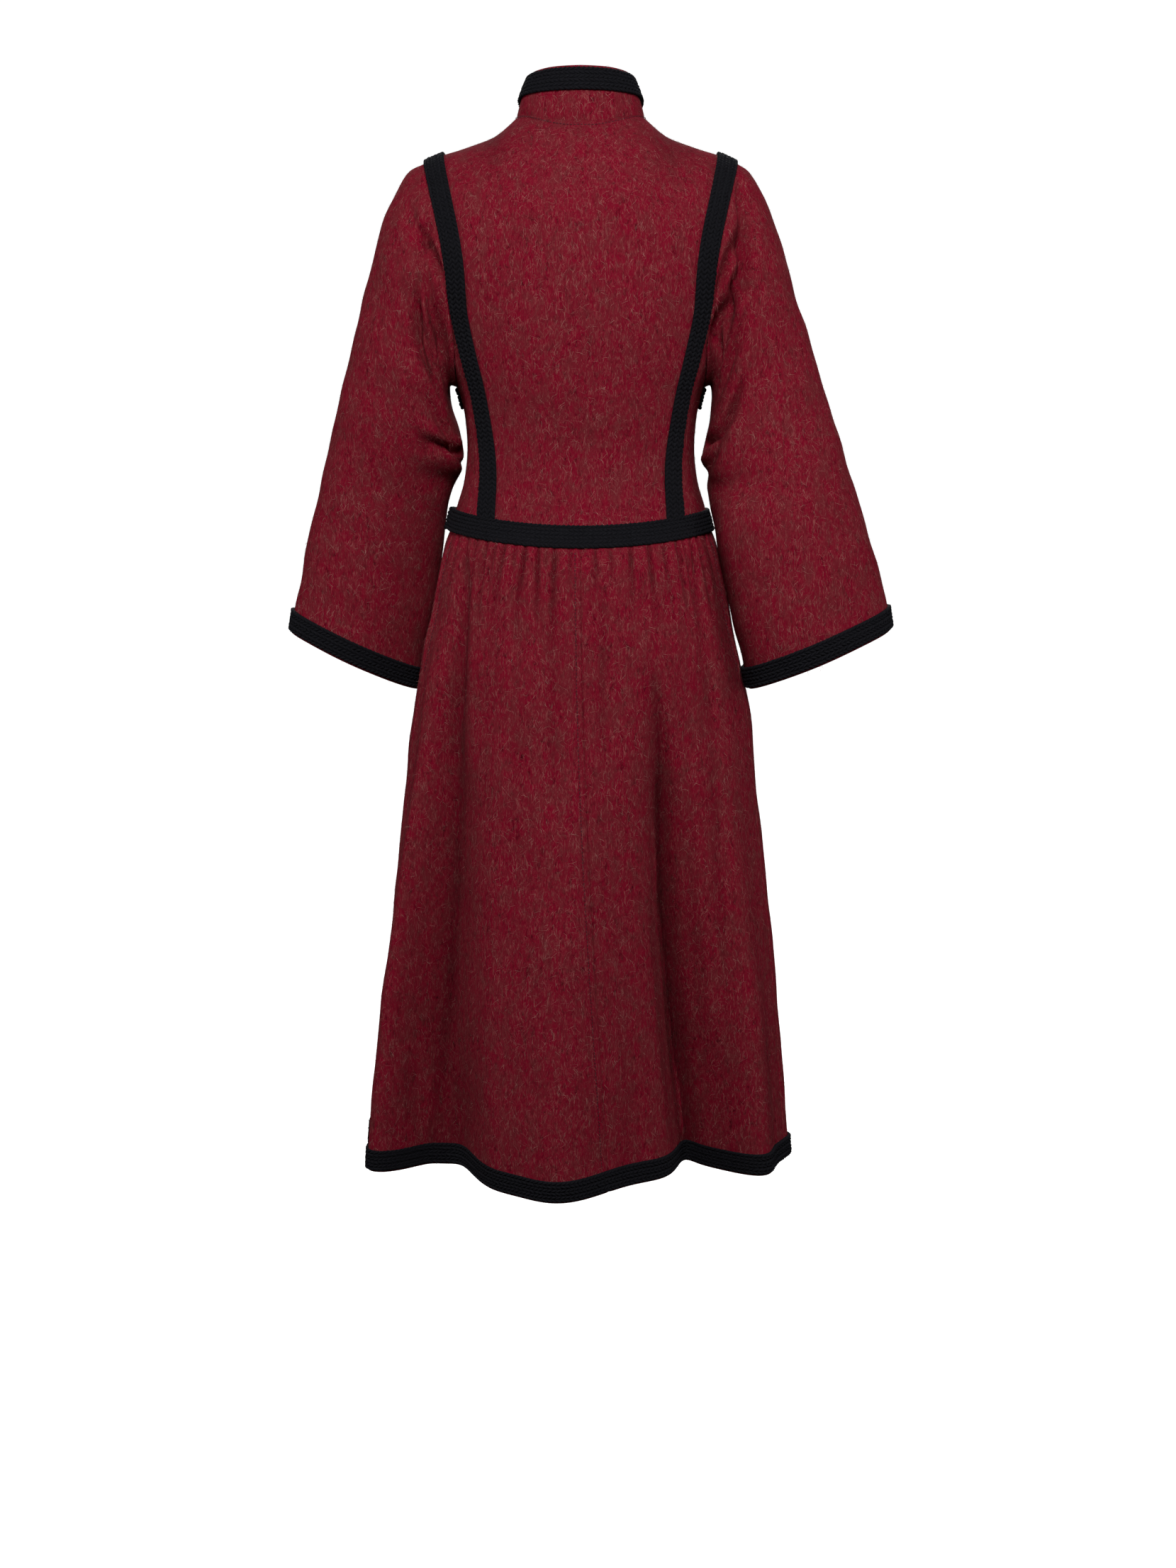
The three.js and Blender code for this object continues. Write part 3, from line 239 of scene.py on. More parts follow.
# Height of the collar's top edge at each angle from the centre back
collarTable = {"around": (0, 45, 90, 135, 180), "top": (90, 89, 84, 63, 36)}


# The camera looks from behind the coat, a little above its middle, and down
def makeCamera():
    data = bpy.data.cameras.new("camera")
    data.lens = cameraLook["lens"]
    data.sensor_width = cameraLook["sensor"]
    camera = bpy.data.objects.new("camera", data)
    camera.location = cameraLook["place"]
    camera.rotation_euler = (math.radians(90 - cameraLook["down"]), 0, math.pi)
    bpy.context.scene.collection.objects.link(camera)
    bpy.context.scene.camera = camera


makeCamera()


# Smooth curve through one column of a table
def tableCurve(table, key, column):
    xs = np.array(table[key], float)
    ys = np.array(table[column], float)
    last = len(xs) - 1
    low = np.maximum(np.arange(last + 1) - 1, 0)
    high = np.minimum(np.arange(last + 1) + 1, last)
    slope = (ys[high] - ys[low]) / (xs[high] - xs[low])

    def curve(place):
        at = np.clip(place, xs[0], xs[-1])
        i = np.clip(np.searchsorted(xs, at, "left") - 1, 0, last - 1)
        span = xs[i + 1] - xs[i]
        p = (at - xs[i]) / span
        q = 1 - p
        ends = ys[i] * q * q * (1 + 2 * p) + ys[i + 1] * p * p * (3 - 2 * p)
        return ends + span * (slope[i] * p * q * q - slope[i + 1] * p * p * q)

    return curve


def tableCurves(table, key):
    return {column: tableCurve(table, key, column) for column in table if column != key}


bodice = tableCurves(bodiceTable, "z")
shoulder = tableCurve(shoulderTable, "x", "z")
armhole = tableCurves(armholeTable, "z")
princess = tableCurve(princessTable, "z", "x")
skirt = tableCurves(skirtTable, "z")
sleeves = {side: tableCurves(table, "along") for side, table in sleeveTables.items()}
collarTop = tableCurve(collarTable, "around", "top")


# A soft step from 0 to 1 between two places
def smooth(x, low, high):
    t = np.clip((x - low) / (high - low), 0, 1)
    return t * t * (3 - 2 * t)


def mix(a, b, t):
    return a + (b - a) * t


def unit(v):
    return v / np.maximum(np.linalg.norm(v, axis=-1, keepdims=True), 1e-9)


def dot(a, b):
    return np.sum(a * b, axis=-1)


def vector(x, y, z):
    x, y, z = np.broadcast_arrays(np.asarray(x, float), y, z)
    return np.stack([x, y, z], axis=-1)


# Height of the waist seam, which dips at the sides and rises between them
def waistAt(turn):
    return size["waistZ"] - size["waistDip"] * np.cos(2 * turn)


# Depth of a plan that lies between an ellipse and a box, as a share of its half
def planDepth(turn, square):
    across = np.minimum(np.abs(np.sin(turn)), 1)
    return np.maximum(1 - across ** square, 0) ** (1 / square)


def planPoint(plan, turn, z):
    behind = np.cos(turn) >= 0
    depth = np.where(behind, plan["back"](z), -plan["front"](z))
    return vector(plan["half"](z) * np.sin(turn), planDepth(turn, plan["square"](z)) * depth, z)


# Point of the bodice by turn from the centre back and level, 0 at the chest and 1 on the shoulder line
def bodicePoint(turn, level):
    level = np.asarray(level, float)
    low = planPoint(bodice, turn, size["chestZ"] + np.minimum(level, 0) * size["levelSpan"])
    chest = planPoint(bodice, turn, np.full_like(np.asarray(turn, float), size["chestZ"]))
    height = shoulder(np.abs(chest[..., 0])) - size["chestZ"]
    angle = np.maximum(level, 0) * quarter
    high = vector(chest[..., 0], chest[..., 1] * np.cos(angle), size["chestZ"] + height * np.sin(angle))
    return np.where((level <= 0)[..., None], low, high)


def levelBelow(z):
    return (z - size["chestZ"]) / size["levelSpan"]


def levelAt(x, z):
    above = np.clip((z - size["chestZ"]) / (shoulder(np.abs(x)) - size["chestZ"]), 0, 1)
    return np.where(z <= size["chestZ"], levelBelow(z), np.arcsin(above) / quarter)


def turnAt(x, z):
    return np.arcsin(np.clip(x / bodice["half"](np.minimum(z, size["chestZ"])), -1, 1))


# Turn and level of the neck seam above an angle round the neck
def neckPlace(around):
    x = size["neckHalf"] * np.sin(around)
    y = np.where(np.cos(around) >= 0, size["neckBack"], size["neckFront"]) * np.cos(around)
    side = turnAt(np.abs(x), size["chestZ"])
    chest = size["chestZ"]
    full = planDepth(side, bodice["square"](chest))
    reach = full * np.where(y >= 0, bodice["back"](chest), bodice["front"](chest))
    turn = np.where(y >= 0, side, math.pi - side)
    level = np.arccos(np.clip(np.abs(y) / reach, 0, 1)) / quarter
    return turn * np.where(x < 0, -1, 1), level


# Direction out of a surface, away from a point inside it
def outward(surface, a, b, centre, step=0.002):
    alongA = surface(a + step, b) - surface(a - step, b)
    alongB = surface(a, b + step) - surface(a, b - step)
    normal = unit(np.cross(alongA, alongB))
    facing = dot(normal, surface(a, b) - centre) < 0
    return np.where(facing[..., None], -normal, normal)


chestCentre = np.array([0.0, 0.0, size["chestZ"]])


def bodiceNormal(turn, level):
    out = outward(bodicePoint, turn, np.minimum(level, 0.998), chestCentre)
    out[..., 1] *= np.where(level > 0.9, np.clip((1 - level) / 0.1, 0, 1), 1)
    return unit(out)


def bodiceRaised(turn, level, lift):
    turn, level = np.broadcast_arrays(np.asarray(turn, float), np.asarray(level, float))
    lift = np.broadcast_to(lift, turn.shape)
    return bodicePoint(turn, level) + bodiceNormal(turn, level) * lift[..., None]


# How far the upper front lies out where it laps over the lower one
def overlapRise(x):
    past = x + size["overlapHalf"] + size["overlapPast"] + size["overlapRamp"]
    return size["overlapLift"] * smooth(past, 0, size["overlapRamp"])


# Soft bumps and hollows of worn cloth, as a sum of slow waves along fixed directions
def handling(point, scale, depth, shift):
    total = np.zeros(point.shape[:-1])
    waves = ((1.0, 0.3, 0.5), (-0.6, 0.8, 0.9), (0.4, -1.0, 0.7), (0.9, 0.6, -0.8), (-0.3, -0.7, 1.3))
    for k, way in enumerate(waves):
        phase = point @ np.array(way) / scale * (1 + 0.23 * k)
        total += np.sin(phase * 2 * math.pi + shift * (k + 1.7)) / (1 + 0.35 * k)
    return depth * total / 2.2


# Gathers below the waist braid: narrow valleys with soft banks
def gatherRelief(turn, z):
    degrees = np.degrees(turn)
    drop = waistAt(turn) - z
    relief = np.zeros(np.broadcast(turn, z).shape)
    for place, deep, spread, length in gatherRows:
        lean = place + 0.02 * (drop - gatherLook["full"]) * math.sin(place * 1.7)
        wide = spread * (0.85 + 0.75 * np.clip(drop / length, 0, 1.2))
        fade = (1 - np.clip((drop - gatherLook["full"]) / (length - gatherLook["full"]), 0, 1)) ** 1.3
        body = smooth(drop, gatherLook["plain"], gatherLook["full"]) * fade * gatherLook["strength"]
        away = (degrees - lean) / wide
        relief += body * deep * (0.5 * np.exp(-(away / 2.3) ** 2) - 1.4 * np.exp(-away ** 2))
    puff = smooth(drop, gatherLook["plain"], 30) * (1 - smooth(drop, 30, 120))
    return relief + gatherLook["puff"] * puff


# Long soft creases and the deep folds, both faded out at the waist
def dragRelief(turn, z):
    degrees = np.degrees(turn)
    relief = np.zeros(np.broadcast(turn, z).shape)
    across = creaseLook["perDegree"]
    for turn1, z1, turn2, z2, deep, wide in dragRows:
        bx, by = (turn2 - turn1) * across, z2 - z1
        px, py = (degrees - turn1) * across, z - z1
        share = np.clip((px * bx + py * by) / (bx * bx + by * by), 0, 1)
        away = np.hypot(px - bx * share, (py - by * share) * creaseLook["pastEnd"]) / wide
        relief -= deep * np.exp(-away * away)
    for fold in deepFolds:
        heights = -np.array(fold["z"], float)
        keys = ("place", "deep", "inner", "outer")
        place, deep, inner, outer = (np.interp(-z, heights, fold[key]) for key in keys)
        away = (degrees - place) * skirt["half"](z) * math.pi / 180
        wide = np.where(away * np.sign(place) < 0, inner, outer)
        relief -= deep * np.exp(-(away / wide) ** 2)
    return relief * smooth(waistAt(turn) - z, 14, 50)


# Folds that grow from their start down to the hem
def foldRelief(turn, z):
    degrees = np.degrees(turn)
    relief = np.zeros(np.broadcast(turn, z).shape)
    for around, out, spread, start in foldRows:
        grown = np.maximum(smooth(start - z, 0, start - size["hemZ"]), 0) ** 0.8
        relief += out * grown * np.exp(-((degrees - around) / spread) ** 2)
    return relief


# Skirt with all its folds, lifted off its surface
def skirtRaised(turn, z, lift):
    turn, z = np.broadcast_arrays(np.asarray(turn, float), np.asarray(z, float))
    span = size["levelSpan"]
    centre = vector(np.zeros_like(z), 0, z)
    out = outward(lambda a, b: planPoint(skirt, a, b * span), turn, z / span, centre)
    relief = gatherRelief(turn, z) + foldRelief(turn, z) + dragRelief(turn, z)
    point = planPoint(skirt, turn, z)
    relief = relief + handling(point, 150, 1.3, 2.0) * smooth(waistAt(turn) - z, 20, 120)
    return point + out * (relief + lift)[..., None]


# Half of the armhole seam as points, with the share of its length at each
def armholeHalf(column):
    down = (1 - np.cos(np.linspace(0, math.pi, 500))) / 2
    z = mix(size["tipZ"], size["underarmZ"], down)
    x = armhole[column](z)
    turn = turnAt(x, z)
    point = bodicePoint(turn if column == "back" else math.pi - turn, levelAt(x, z))
    point[0, 1] = 0
    point[-1] = (bodice["half"](size["underarmZ"]), 0, size["underarmZ"])
    length = np.concatenate([[0], np.cumsum(np.linalg.norm(np.diff(point, axis=0), axis=1))])
    return length / length[-1], point


armholeBack = armholeHalf("back")
armholeFront = armholeHalf("front")


def alongLine(shares, points, at):
    return np.stack([np.interp(at, shares, points[:, k]) for k in range(3)], axis=-1)


# Point of the armhole seam, round being a share of a turn from the shoulder tip by way of the back
def armholePoint(turns):
    share = np.mod(turns, 1)
    back = alongLine(*armholeBack, np.clip(share * 2, 0, 1))
    front = alongLine(*armholeFront, np.clip(2 - share * 2, 0, 1))
    return np.where((share <= 0.5)[..., None], back, front)


# Turn and level of a point near the bodice, found roughly and then settled
def placeOf(point):
    x, y, z = point[..., 0], point[..., 1], point[..., 2]
    level = levelAt(x, z)
    turn = turnAt(x, z)
    square = bodice["square"](z)
    share = np.clip(np.abs(y) / np.where(y >= 0, bodice["back"](z), bodice["front"](z)), 0, 1)
    beside = np.arcsin(np.clip((1 - share ** square) ** (1 / square), 0, 1))
    turn = np.where((level <= 0) & (turn > 1.1), beside, turn)
    return np.where(y >= 0, turn, math.pi - turn), level


def settle(point, turn, level):
    turn, level = turn.copy(), level.copy()
    step = 0.001
    for _ in range(6):
        off = point - bodicePoint(turn, level)
        byTurn = (bodicePoint(turn + step, level) - bodicePoint(turn - step, level)) / (2 * step)
        byLevel = (bodicePoint(turn, level + step) - bodicePoint(turn, level - step)) / (2 * step)
        tt, ll, tl = dot(byTurn, byTurn), dot(byLevel, byLevel), dot(byTurn, byLevel)
        area = tt * ll - tl * tl
        fine = area > 1
        area = np.where(fine, area, 1)
        turn += np.where(fine, (dot(off, byTurn) * ll - dot(off, byLevel) * tl) / area, 0)
        level += np.where(fine, (dot(off, byLevel) * tt - dot(off, byTurn) * tl) / area, 0)
    return turn, level


# Plain oval of a sleeve between its outer and inner edge
def sleeveOval(rows, turns, along):
    outer = vector(rows["outX"](along), rows["outY"](along), rows["outZ"](along))
    inner = vector(rows["inX"](along), rows["inY"](along), rows["inZ"](along))
    middle = (outer + inner) / 2
    across = outer - middle
    deep = np.array([0.0, 1.0, 0.0]) - across * (across[..., 1] / dot(across, across))[..., None]
    angle = turns * 2 * math.pi
    depth = np.where(np.sin(angle) >= 0, rows["back"](along), rows["front"](along))
    return middle + across * np.cos(angle)[..., None] + unit(deep) * (depth * np.sin(angle))[..., None]


# Sleeve that starts on the armhole seam and takes its oval's shape further down
def sleevePoint(side, turns, along):
    turns, along = np.broadcast_arrays(np.asarray(turns, float), np.asarray(along, float))
    rows = sleeves[side]
    fade = 1 - smooth(along, 0, 0.26)
    start = armholePoint(turns) - sleeveOval(rows, turns, np.zeros_like(along))
    return sleeveOval(rows, turns, along) + start * fade[..., None]


# Creases between two ends, deepest halfway
def troughs(rows, turns, along):
    roundSize, alongSize = sleeveLook["perDegree"], sleeveLook["long"]
    relief = np.zeros(np.broadcast(turns, along).shape)
    for round1, along1, round2, along2, deep, wide in rows:
        ax, ay = round1 * roundSize, along1 * alongSize
        bx, by = round2 * roundSize - ax, along2 * alongSize - ay
        px, py = turns * 360 * roundSize - ax, along * alongSize - ay
        share = np.clip((px * bx + py * by) / (bx * bx + by * by), 0, 1)
        away = np.hypot(px - bx * share, py - by * share) / wide
        relief -= deep * (0.55 + 0.45 * np.sin(math.pi * share)) * np.exp(-away * away)
    return relief


def creaseRelief(side, turns, along):
    soft = troughs(creaseRows[side], turns, along) * smooth(along, 0.015, 0.075)
    return soft + troughs(sharpRows[side], turns, along) * smooth(along, 0.0, 0.03)


# Sleeve with its creases, lifted off its surface, and off the bodice beside the armhole
def sleeveRaised(side, turns, along, lift):
    turns, along = np.broadcast_arrays(np.asarray(turns, float), np.asarray(along, float))
    inside = np.clip(along, 0.004, 0.996)
    edges = [sleevePoint(side, np.full_like(turns, share), inside) for share in (0.0, 0.5)]
    middle = (edges[0] + edges[1]) / 2
    out = outward(lambda a, b: sleevePoint(side, a, b), turns, inside, middle)
    start = (1 - smooth(along, 0, 0.05)) * smooth(np.abs(turns - 0.5), 0.05, 0.14)
    turn, level = placeOf(armholePoint(turns))
    base = outward(bodicePoint, turn, np.minimum(level, 0.995), chestCentre)
    out = unit(mix(out, base, start[..., None]))
    point = sleevePoint(side, turns, along)
    relief = creaseRelief(side, turns, along)
    relief = relief + handling(point, 120, 1.5, 5.0 if side == "left" else 8.0) * smooth(along, 0.03, 0.15)
    point = point + out * (relief + lift)[..., None]
    point[..., 0] += size["armholeGap"] * (1 - along)
    return point


def toSide(point, way):
    point = point.copy()
    point[..., 0] *= way
    return point


# Places between marks, so that one falls on each mark
def steps(*marks):
    places = [np.array([float(marks[0])])]
    for i in range(1, len(marks), 2):
        places.append(np.linspace(marks[i - 1], marks[i + 1], marks[i] + 1)[1:])
    return np.concatenate(places)


neckTurn = math.asin(size["neckHalf"] / float(bodice["half"](size["chestZ"])))
tipTurn = float(turnAt(armhole["back"](size["tipZ"]), size["tipZ"]))
shoulderTop = 1.0
# Distances from a seam, in millimetres, where cloth has rows of its own to roll over
closeTo = np.array([0.0, 0.7, 1.5, 2.6, 4.2])


def neckAbove(turn, behind):
    x = bodice["half"](size["chestZ"]) * np.sin(np.abs(turn))
    around = np.arcsin(np.clip(x / size["neckHalf"], 0, 1))
    return neckPlace(around if behind else math.pi - around)[1]


def panelTop(turn, behind):
    return np.where(np.abs(turn) < neckTurn, np.minimum(neckAbove(turn, behind), shoulderTop), shoulderTop)


# Rows of a panel keep level up to its neck, and only above that do they follow the neck's curve
def panelLevel(bottom, top, v, level, share):
    low = mix(bottom, level, v / share)
    return np.where(v <= share, low, mix(level, top, (v - share) / (1 - share)))


# Places from 0 to 1 with some close to the ends, where cloth rolls into a seam
def edged(places, length, low=True, high=True):
    near = closeTo / length
    if low:
        places = np.concatenate([near, places[places > near[-1] * 1.3]])
    if high:
        places = np.concatenate([places[places < 1 - near[-1] * 1.3], 1 - near[::-1]])
    return places


# How far cloth sinks towards a seam that lies a distance away
def rolled(distance, share=1.0):
    return -size["seamDip"] * share * np.exp(-(distance / size["seamSpread"]) ** 2)


def heightAt(x, level):
    below = size["chestZ"] + level * size["levelSpan"]
    above = size["chestZ"] + (shoulder(x) - size["chestZ"]) * np.sin(np.clip(level, 0, 1) * quarter)
    return np.where(level <= 0, below, above)


def edgeTurn(distance, level):
    x = distance(np.full_like(np.asarray(level, float), size["chestZ"]))
    for _ in range(6):
        x = distance(heightAt(x, level))
    return turnAt(x, heightAt(x, level))


def backEdge(z):
    top = size["princessTop"]
    out = armhole["back"](top) - princess(top)
    return np.where(z >= top, armhole["back"](z), princess(z) + out * smooth(z, top - 26, top))


princessFoot = float(waistAt(turnAt(princess(size["princessFoot"]), size["princessFoot"])))
princessLow = levelBelow(princessFoot)
princessMark = float((levelAt(0.0, size["princessTop"]) - princessLow) / (shoulderTop - princessLow))


def backBodice(u, v, lift):
    turn = u * edgeTurn(backEdge, mix(princessLow, shoulderTop, v))
    level = panelLevel(levelBelow(waistAt(turn)), panelTop(u * tipTurn, True), v, 0.5, 0.8)
    point = bodicePoint(turn, level)
    soft = handling(point, 170, 1.0, 1.0) * smooth(v, 0, 0.1) * smooth(1 - v, 0, 0.1)
    return bodiceRaised(turn, level, lift + soft + rolled((1 - v) * panel["bodiceHigh"], 0.4))


def sideBack(way):
    def across(z, u):
        return mix(turnAt(backEdge(z), z), quarter, u)

    def topHeight(u):
        low = np.full_like(u, size["underarmZ"])
        high = np.full_like(u, size["princessTop"])
        for _ in range(30):
            z = (low + high) / 2
            inside = across(z, u) < turnAt(armhole["back"](z), z)
            low = np.where(inside, z, low)
            high = np.where(inside, high, z)
        return low

    def surface(u, v, lift):
        z = mix(waistAt(across(size["waistZ"], u)), topHeight(u), v)
        dip = rolled((1 - u) * panel["sideWide"]) + rolled((1 - v) * panel["sideHigh"], 0.6)
        return toSide(bodiceRaised(across(z, u), levelBelow(z), lift + dip), way)

    return surface


frontLow = float(levelBelow(waistAt(quarter)))
frontPit = (levelBelow(size["underarmZ"]) - frontLow) / (shoulderTop - frontLow)


def frontBodice(way):
    def surface(u, v, lift):
        level = mix(frontLow, shoulderTop, v)
        low = heightAt(140.0, level) < size["underarmZ"]
        outer = np.where(low, quarter, math.pi - edgeTurn(armhole["front"], level))
        half = bodice["half"](heightAt(0.0, mix(frontLow, 0, np.minimum(v * 1.4, 1))))
        pull = np.arcsin(size["overlapHalf"] / half) * np.maximum(1 - u / size["frontPull"], 0) ** 2
        turn = mix(math.pi, outer, u) + pull
        level = panelLevel(levelBelow(waistAt(turn)), panelTop(u * tipTurn - pull, False), v, 0.2, 0.67)
        point = bodicePoint(turn, level)
        rise = overlapRise(-point[..., 0]) if way < 0 else 0
        calm = smooth(u, 0.1, 0.3) * smooth(v, 0, 0.1) * smooth(1 - v, 0, 0.1)
        soft = handling(point, 160, 1.0, 3.0 + way) * calm
        beside = np.where(low, rolled((1 - u) * panel["frontWide"]), 0)
        dip = rolled((1 - v) * panel["bodiceHigh"], 0.4) + beside
        return toSide(bodiceRaised(turn, level, lift + rise + soft + dip), way)

    return surface


def backSeamTurn(z):
    return math.radians(size["backSeamDrift"]) * smooth(-z, -size["waistZ"], -size["hemZ"] * 1.3)


def slitTurn(z):
    share = np.clip((z - size["pocketTop"]) / (size["pocketBottom"] - size["pocketTop"]), 0, 1)
    gape = size["pocketGape"] * np.maximum(np.sin(math.pi * share), 0) ** 0.6
    return gape / skirt["half"](z)


# Lip of a pocket: the folded edge stands up, and away from the pocket the seam sinks
def pocketLip(distance, z):
    share = np.clip((z - size["pocketTop"]) / (size["pocketBottom"] - size["pocketTop"]), 0, 1)
    opened = smooth(np.sin(math.pi * share), 0.0, 0.35)
    lip = pocketLook["lip"] * np.exp(-((distance - pocketLook["lipAt"]) / pocketLook["lipWide"]) ** 2)
    lip = lip - pocketLook["dip"] * np.exp(-(distance / pocketLook["dipWide"]) ** 2)
    return opened * lip + (1 - opened) * rolled(distance)


skirtLength = size["waistZ"] - size["hemZ"]


def skirtBack(way):
    def surface(u, drop, lift):
        guess = size["waistZ"] - drop
        centre = backSeamTurn(guess)
        seam = way * (math.radians(size["sideSeam"]) - slitTurn(guess))
        turn = mix(centre, seam, u)
        z = mix(waistAt(turn), size["hemZ"], drop / skirtLength)
        across = np.abs(seam - centre) * skirt["half"](guess)
        return skirtRaised(turn, z, lift + rolled(u * across) + pocketLip((1 - u) * across, z))

    return surface


def skirtFront(way):
    def surface(u, drop, lift):
        guess = size["waistZ"] - drop
        centre = math.pi + np.arcsin(size["overlapHalf"] / skirt["half"](guess))
        seam = math.radians(size["sideSeam"]) + slitTurn(guess)
        turn = mix(centre, seam, u) * way
        z = mix(waistAt(turn), size["hemZ"], drop / skirtLength)
        rise = overlapRise(planPoint(skirt, turn, z)[..., 0]) if way < 0 else 0
        across = (centre - seam) * skirt["half"](guess)
        return skirtRaised(turn, z, lift + rise + pocketLip((1 - u) * across, z))

    return surface


def collarPoint(around, rise):
    turn, level = neckPlace(around)
    base = bodicePoint(turn, level)
    lapped = (base[..., 1] < 0) & (base[..., 0] < 0)
    base[..., 2] += np.where(lapped, overlapRise(base[..., 0]) * 0.6, 0)
    depth = np.where(np.cos(around) >= 0, size["collarTopBack"], size["collarTopFront"])
    height = collarTop(np.degrees(np.abs(around)))
    top = vector(size["collarTopHalf"] * np.sin(around), depth * np.cos(around), height)
    rise = np.broadcast_to(rise, base.shape[:-1])[..., None]
    bow = vector(np.sin(around), np.cos(around), 0) * 1.5 * np.sin(math.pi * rise)
    return mix(base, top, rise) + bow


def collarRaised(around, rise, lift):
    around, rise = np.broadcast_arrays(np.asarray(around, float), np.asarray(rise, float))
    along = collarPoint(around + 0.01, rise) - collarPoint(around - 0.01, rise)
    out = unit(vector(-along[..., 1], along[..., 0], 0))
    facing = dot(out, vector(np.sin(around), np.cos(around), 0)) < 0
    out = np.where(facing[..., None], -out, out)
    return collarPoint(around, rise) + out * np.broadcast_to(lift, around.shape)[..., None]


collarEnd = math.pi - 0.5 / size["collarTopFront"]


# Materials. One function turns sRGB hex to the shader's linear colour, one adds a node.
def linear(hexColour):
    channels = [int(hexColour[k:k + 2], 16) / 255 for k in (0, 2, 4)]
    return [c / 12.92 if c <= 0.04045 else ((c + 0.055) / 1.055) ** 2.4 for c in channels] + [1.0]


def addNode(tree, kind, settings=None, **links):
    node = tree.nodes.new(kind)
    for key, value in (settings or {}).items():
        if key in node.inputs:
            node.inputs[key].default_value = value
        else:
            setattr(node, key, value)
    for key, source in links.items():
        tree.links.new(source, node.inputs[key.replace("_", " ")])
    return node


def ramp(tree, source, stops):
    node = addNode(tree, "ShaderNodeValToRGB", None, Fac=source)
    elements = node.color_ramp.elements
    while len(elements) < len(stops):
        elements.new(0.5)
    for element, (place, colour) in zip(elements, stops):
        element.position = place
        element.color = linear(colour) if isinstance(colour, str) else (colour, colour, colour, 1)
    return node.outputs["Color"]


def blendColour(tree, factor, a, b, mode="MIX"):
    node = tree.nodes.new("ShaderNodeMix")
    node.data_type = "RGBA"
    node.blend_type = mode
    sockets = {s.identifier: s for s in node.inputs}
    for identifier, value in (("Factor_Float", factor), ("A_Color", a), ("B_Color", b)):
        if isinstance(value, bpy.types.NodeSocket):
            tree.links.new(value, sockets[identifier])
        else:
            sockets[identifier].default_value = value if identifier == "Factor_Float" else linear(value)
    return {s.identifier: s for s in node.outputs}["Result_Color"]


def newMaterial(name, settings):
    material = bpy.data.materials.new(name)
    material.use_nodes = True
    tree = material.node_tree
    shader = tree.nodes["Principled BSDF"]
    for key, value in settings.items():
        shader.inputs[key].default_value = value
    return material, tree, shader


def objectPlace(tree):
    return addNode(tree, "ShaderNodeTexCoord").outputs["Object"]


# Noise over the object, with the size of its features in millimetres along X, Y and Z
def grain(tree, coords, across, up, detail=3.0, rough=0.55, distortion=0.0):
    scale = (1000 / across, 1000 / across, 1000 / up)
    mapped = addNode(tree, "ShaderNodeMapping", {"Scale": scale}, Vector=coords).outputs["Vector"]
    settings = {"Scale": 1.0, "Detail": detail, "Roughness": rough, "Distortion": distortion}
    return addNode(tree, "ShaderNodeTexNoise", settings, Vector=mapped).outputs["Fac"]


# Painted shade: the colour darkened by the piece's own shade attribute, where cloth lies in a fold or a
# sleeve lies beside the body
def withPaintedShade(tree, colour):
    paintedShade = addNode(tree, "ShaderNodeAttribute", {"attribute_name": "paintedShade"}).outputs["Fac"]
    shade = ramp(tree, paintedShade, ((0.0, 1.0), (1.0, 1 - foldShadeLook["dark"])))
    return blendColour(tree, 1.0, colour, shade, "MULTIPLY")


# Brushed wool: deep red with brown and tan fibres, combed downwards, soft and matt
def makeWool(name):
    settings = {"Roughness": 0.95, "Specular IOR Level": 0.04, "Sheen Weight": 0.03, "Sheen Roughness": 0.4,
                "Sheen Tint": linear(colours["woolSheen"])}
    material, tree, shader = newMaterial(name, settings)
    coords = objectPlace(tree)
    patches = grain(tree, coords, 15, 26, 4.0, 0.62, 0.6)
    clumps = grain(tree, coords, 4.2, 8.5, 4.0, 0.66, 0.9)
    fibres = grain(tree, coords, 1.5, 6.5, 3.0, 0.6, 1.2)
    curls = grain(tree, coords, 2.6, 4.4, 4.0, 0.7, 2.2)
    tones = ((0.28, "woolDark"), (0.47, "wool"), (0.62, "wool"), (0.78, "woolBrown"))
    colour = ramp(tree, clumps, [(place, colours[name]) for place, name in tones])
    browned = ramp(tree, patches, ((0.42, 0.0), (0.66, 0.62)))
    colour = blendColour(tree, browned, colour, colours["woolBrown"])
    streak = ramp(tree, fibres, ((0.52, 0.0), (0.74, 0.55)))
    colour = blendColour(tree, streak, colour, colours["woolTan"])
    pit = ramp(tree, curls, ((0.3, 0.55), (0.46, 0.0)))
    colour = blendColour(tree, pit, colour, colours["woolDark"])
    # painted shade: the colour is darkened in folds and on the sleeves' inner sides
    tree.links.new(withPaintedShade(tree, colour), shader.inputs["Base Color"])
    height = addNode(tree, "ShaderNodeMath", {"operation": "ADD"})
    tree.links.new(clumps, height.inputs[0])
    tree.links.new(fibres, height.inputs[1])
    bump = addNode(tree, "ShaderNodeBump", {"Strength": 0.75, "Distance": 0.0011}, Height=height.outputs[0])
    tree.links.new(bump.outputs["Normal"], shader.inputs["Normal"])
    return material


# Single wool fibres of the nap, lighter than the ground
def makeNap(name, colour, light):
    settings = {"Roughness": 0.9, "Specular IOR Level": 0.05}
    material, tree, shader = newMaterial(name, settings)
    coords = objectPlace(tree)
    tone = ramp(tree, grain(tree, coords, 7, 7, 2.0), ((0.35, colour), (0.68, light)))
    # painted shade: the nap is darkened in folds like the cloth under it
    tree.links.new(withPaintedShade(tree, tone), shader.inputs["Base Color"])
    return material


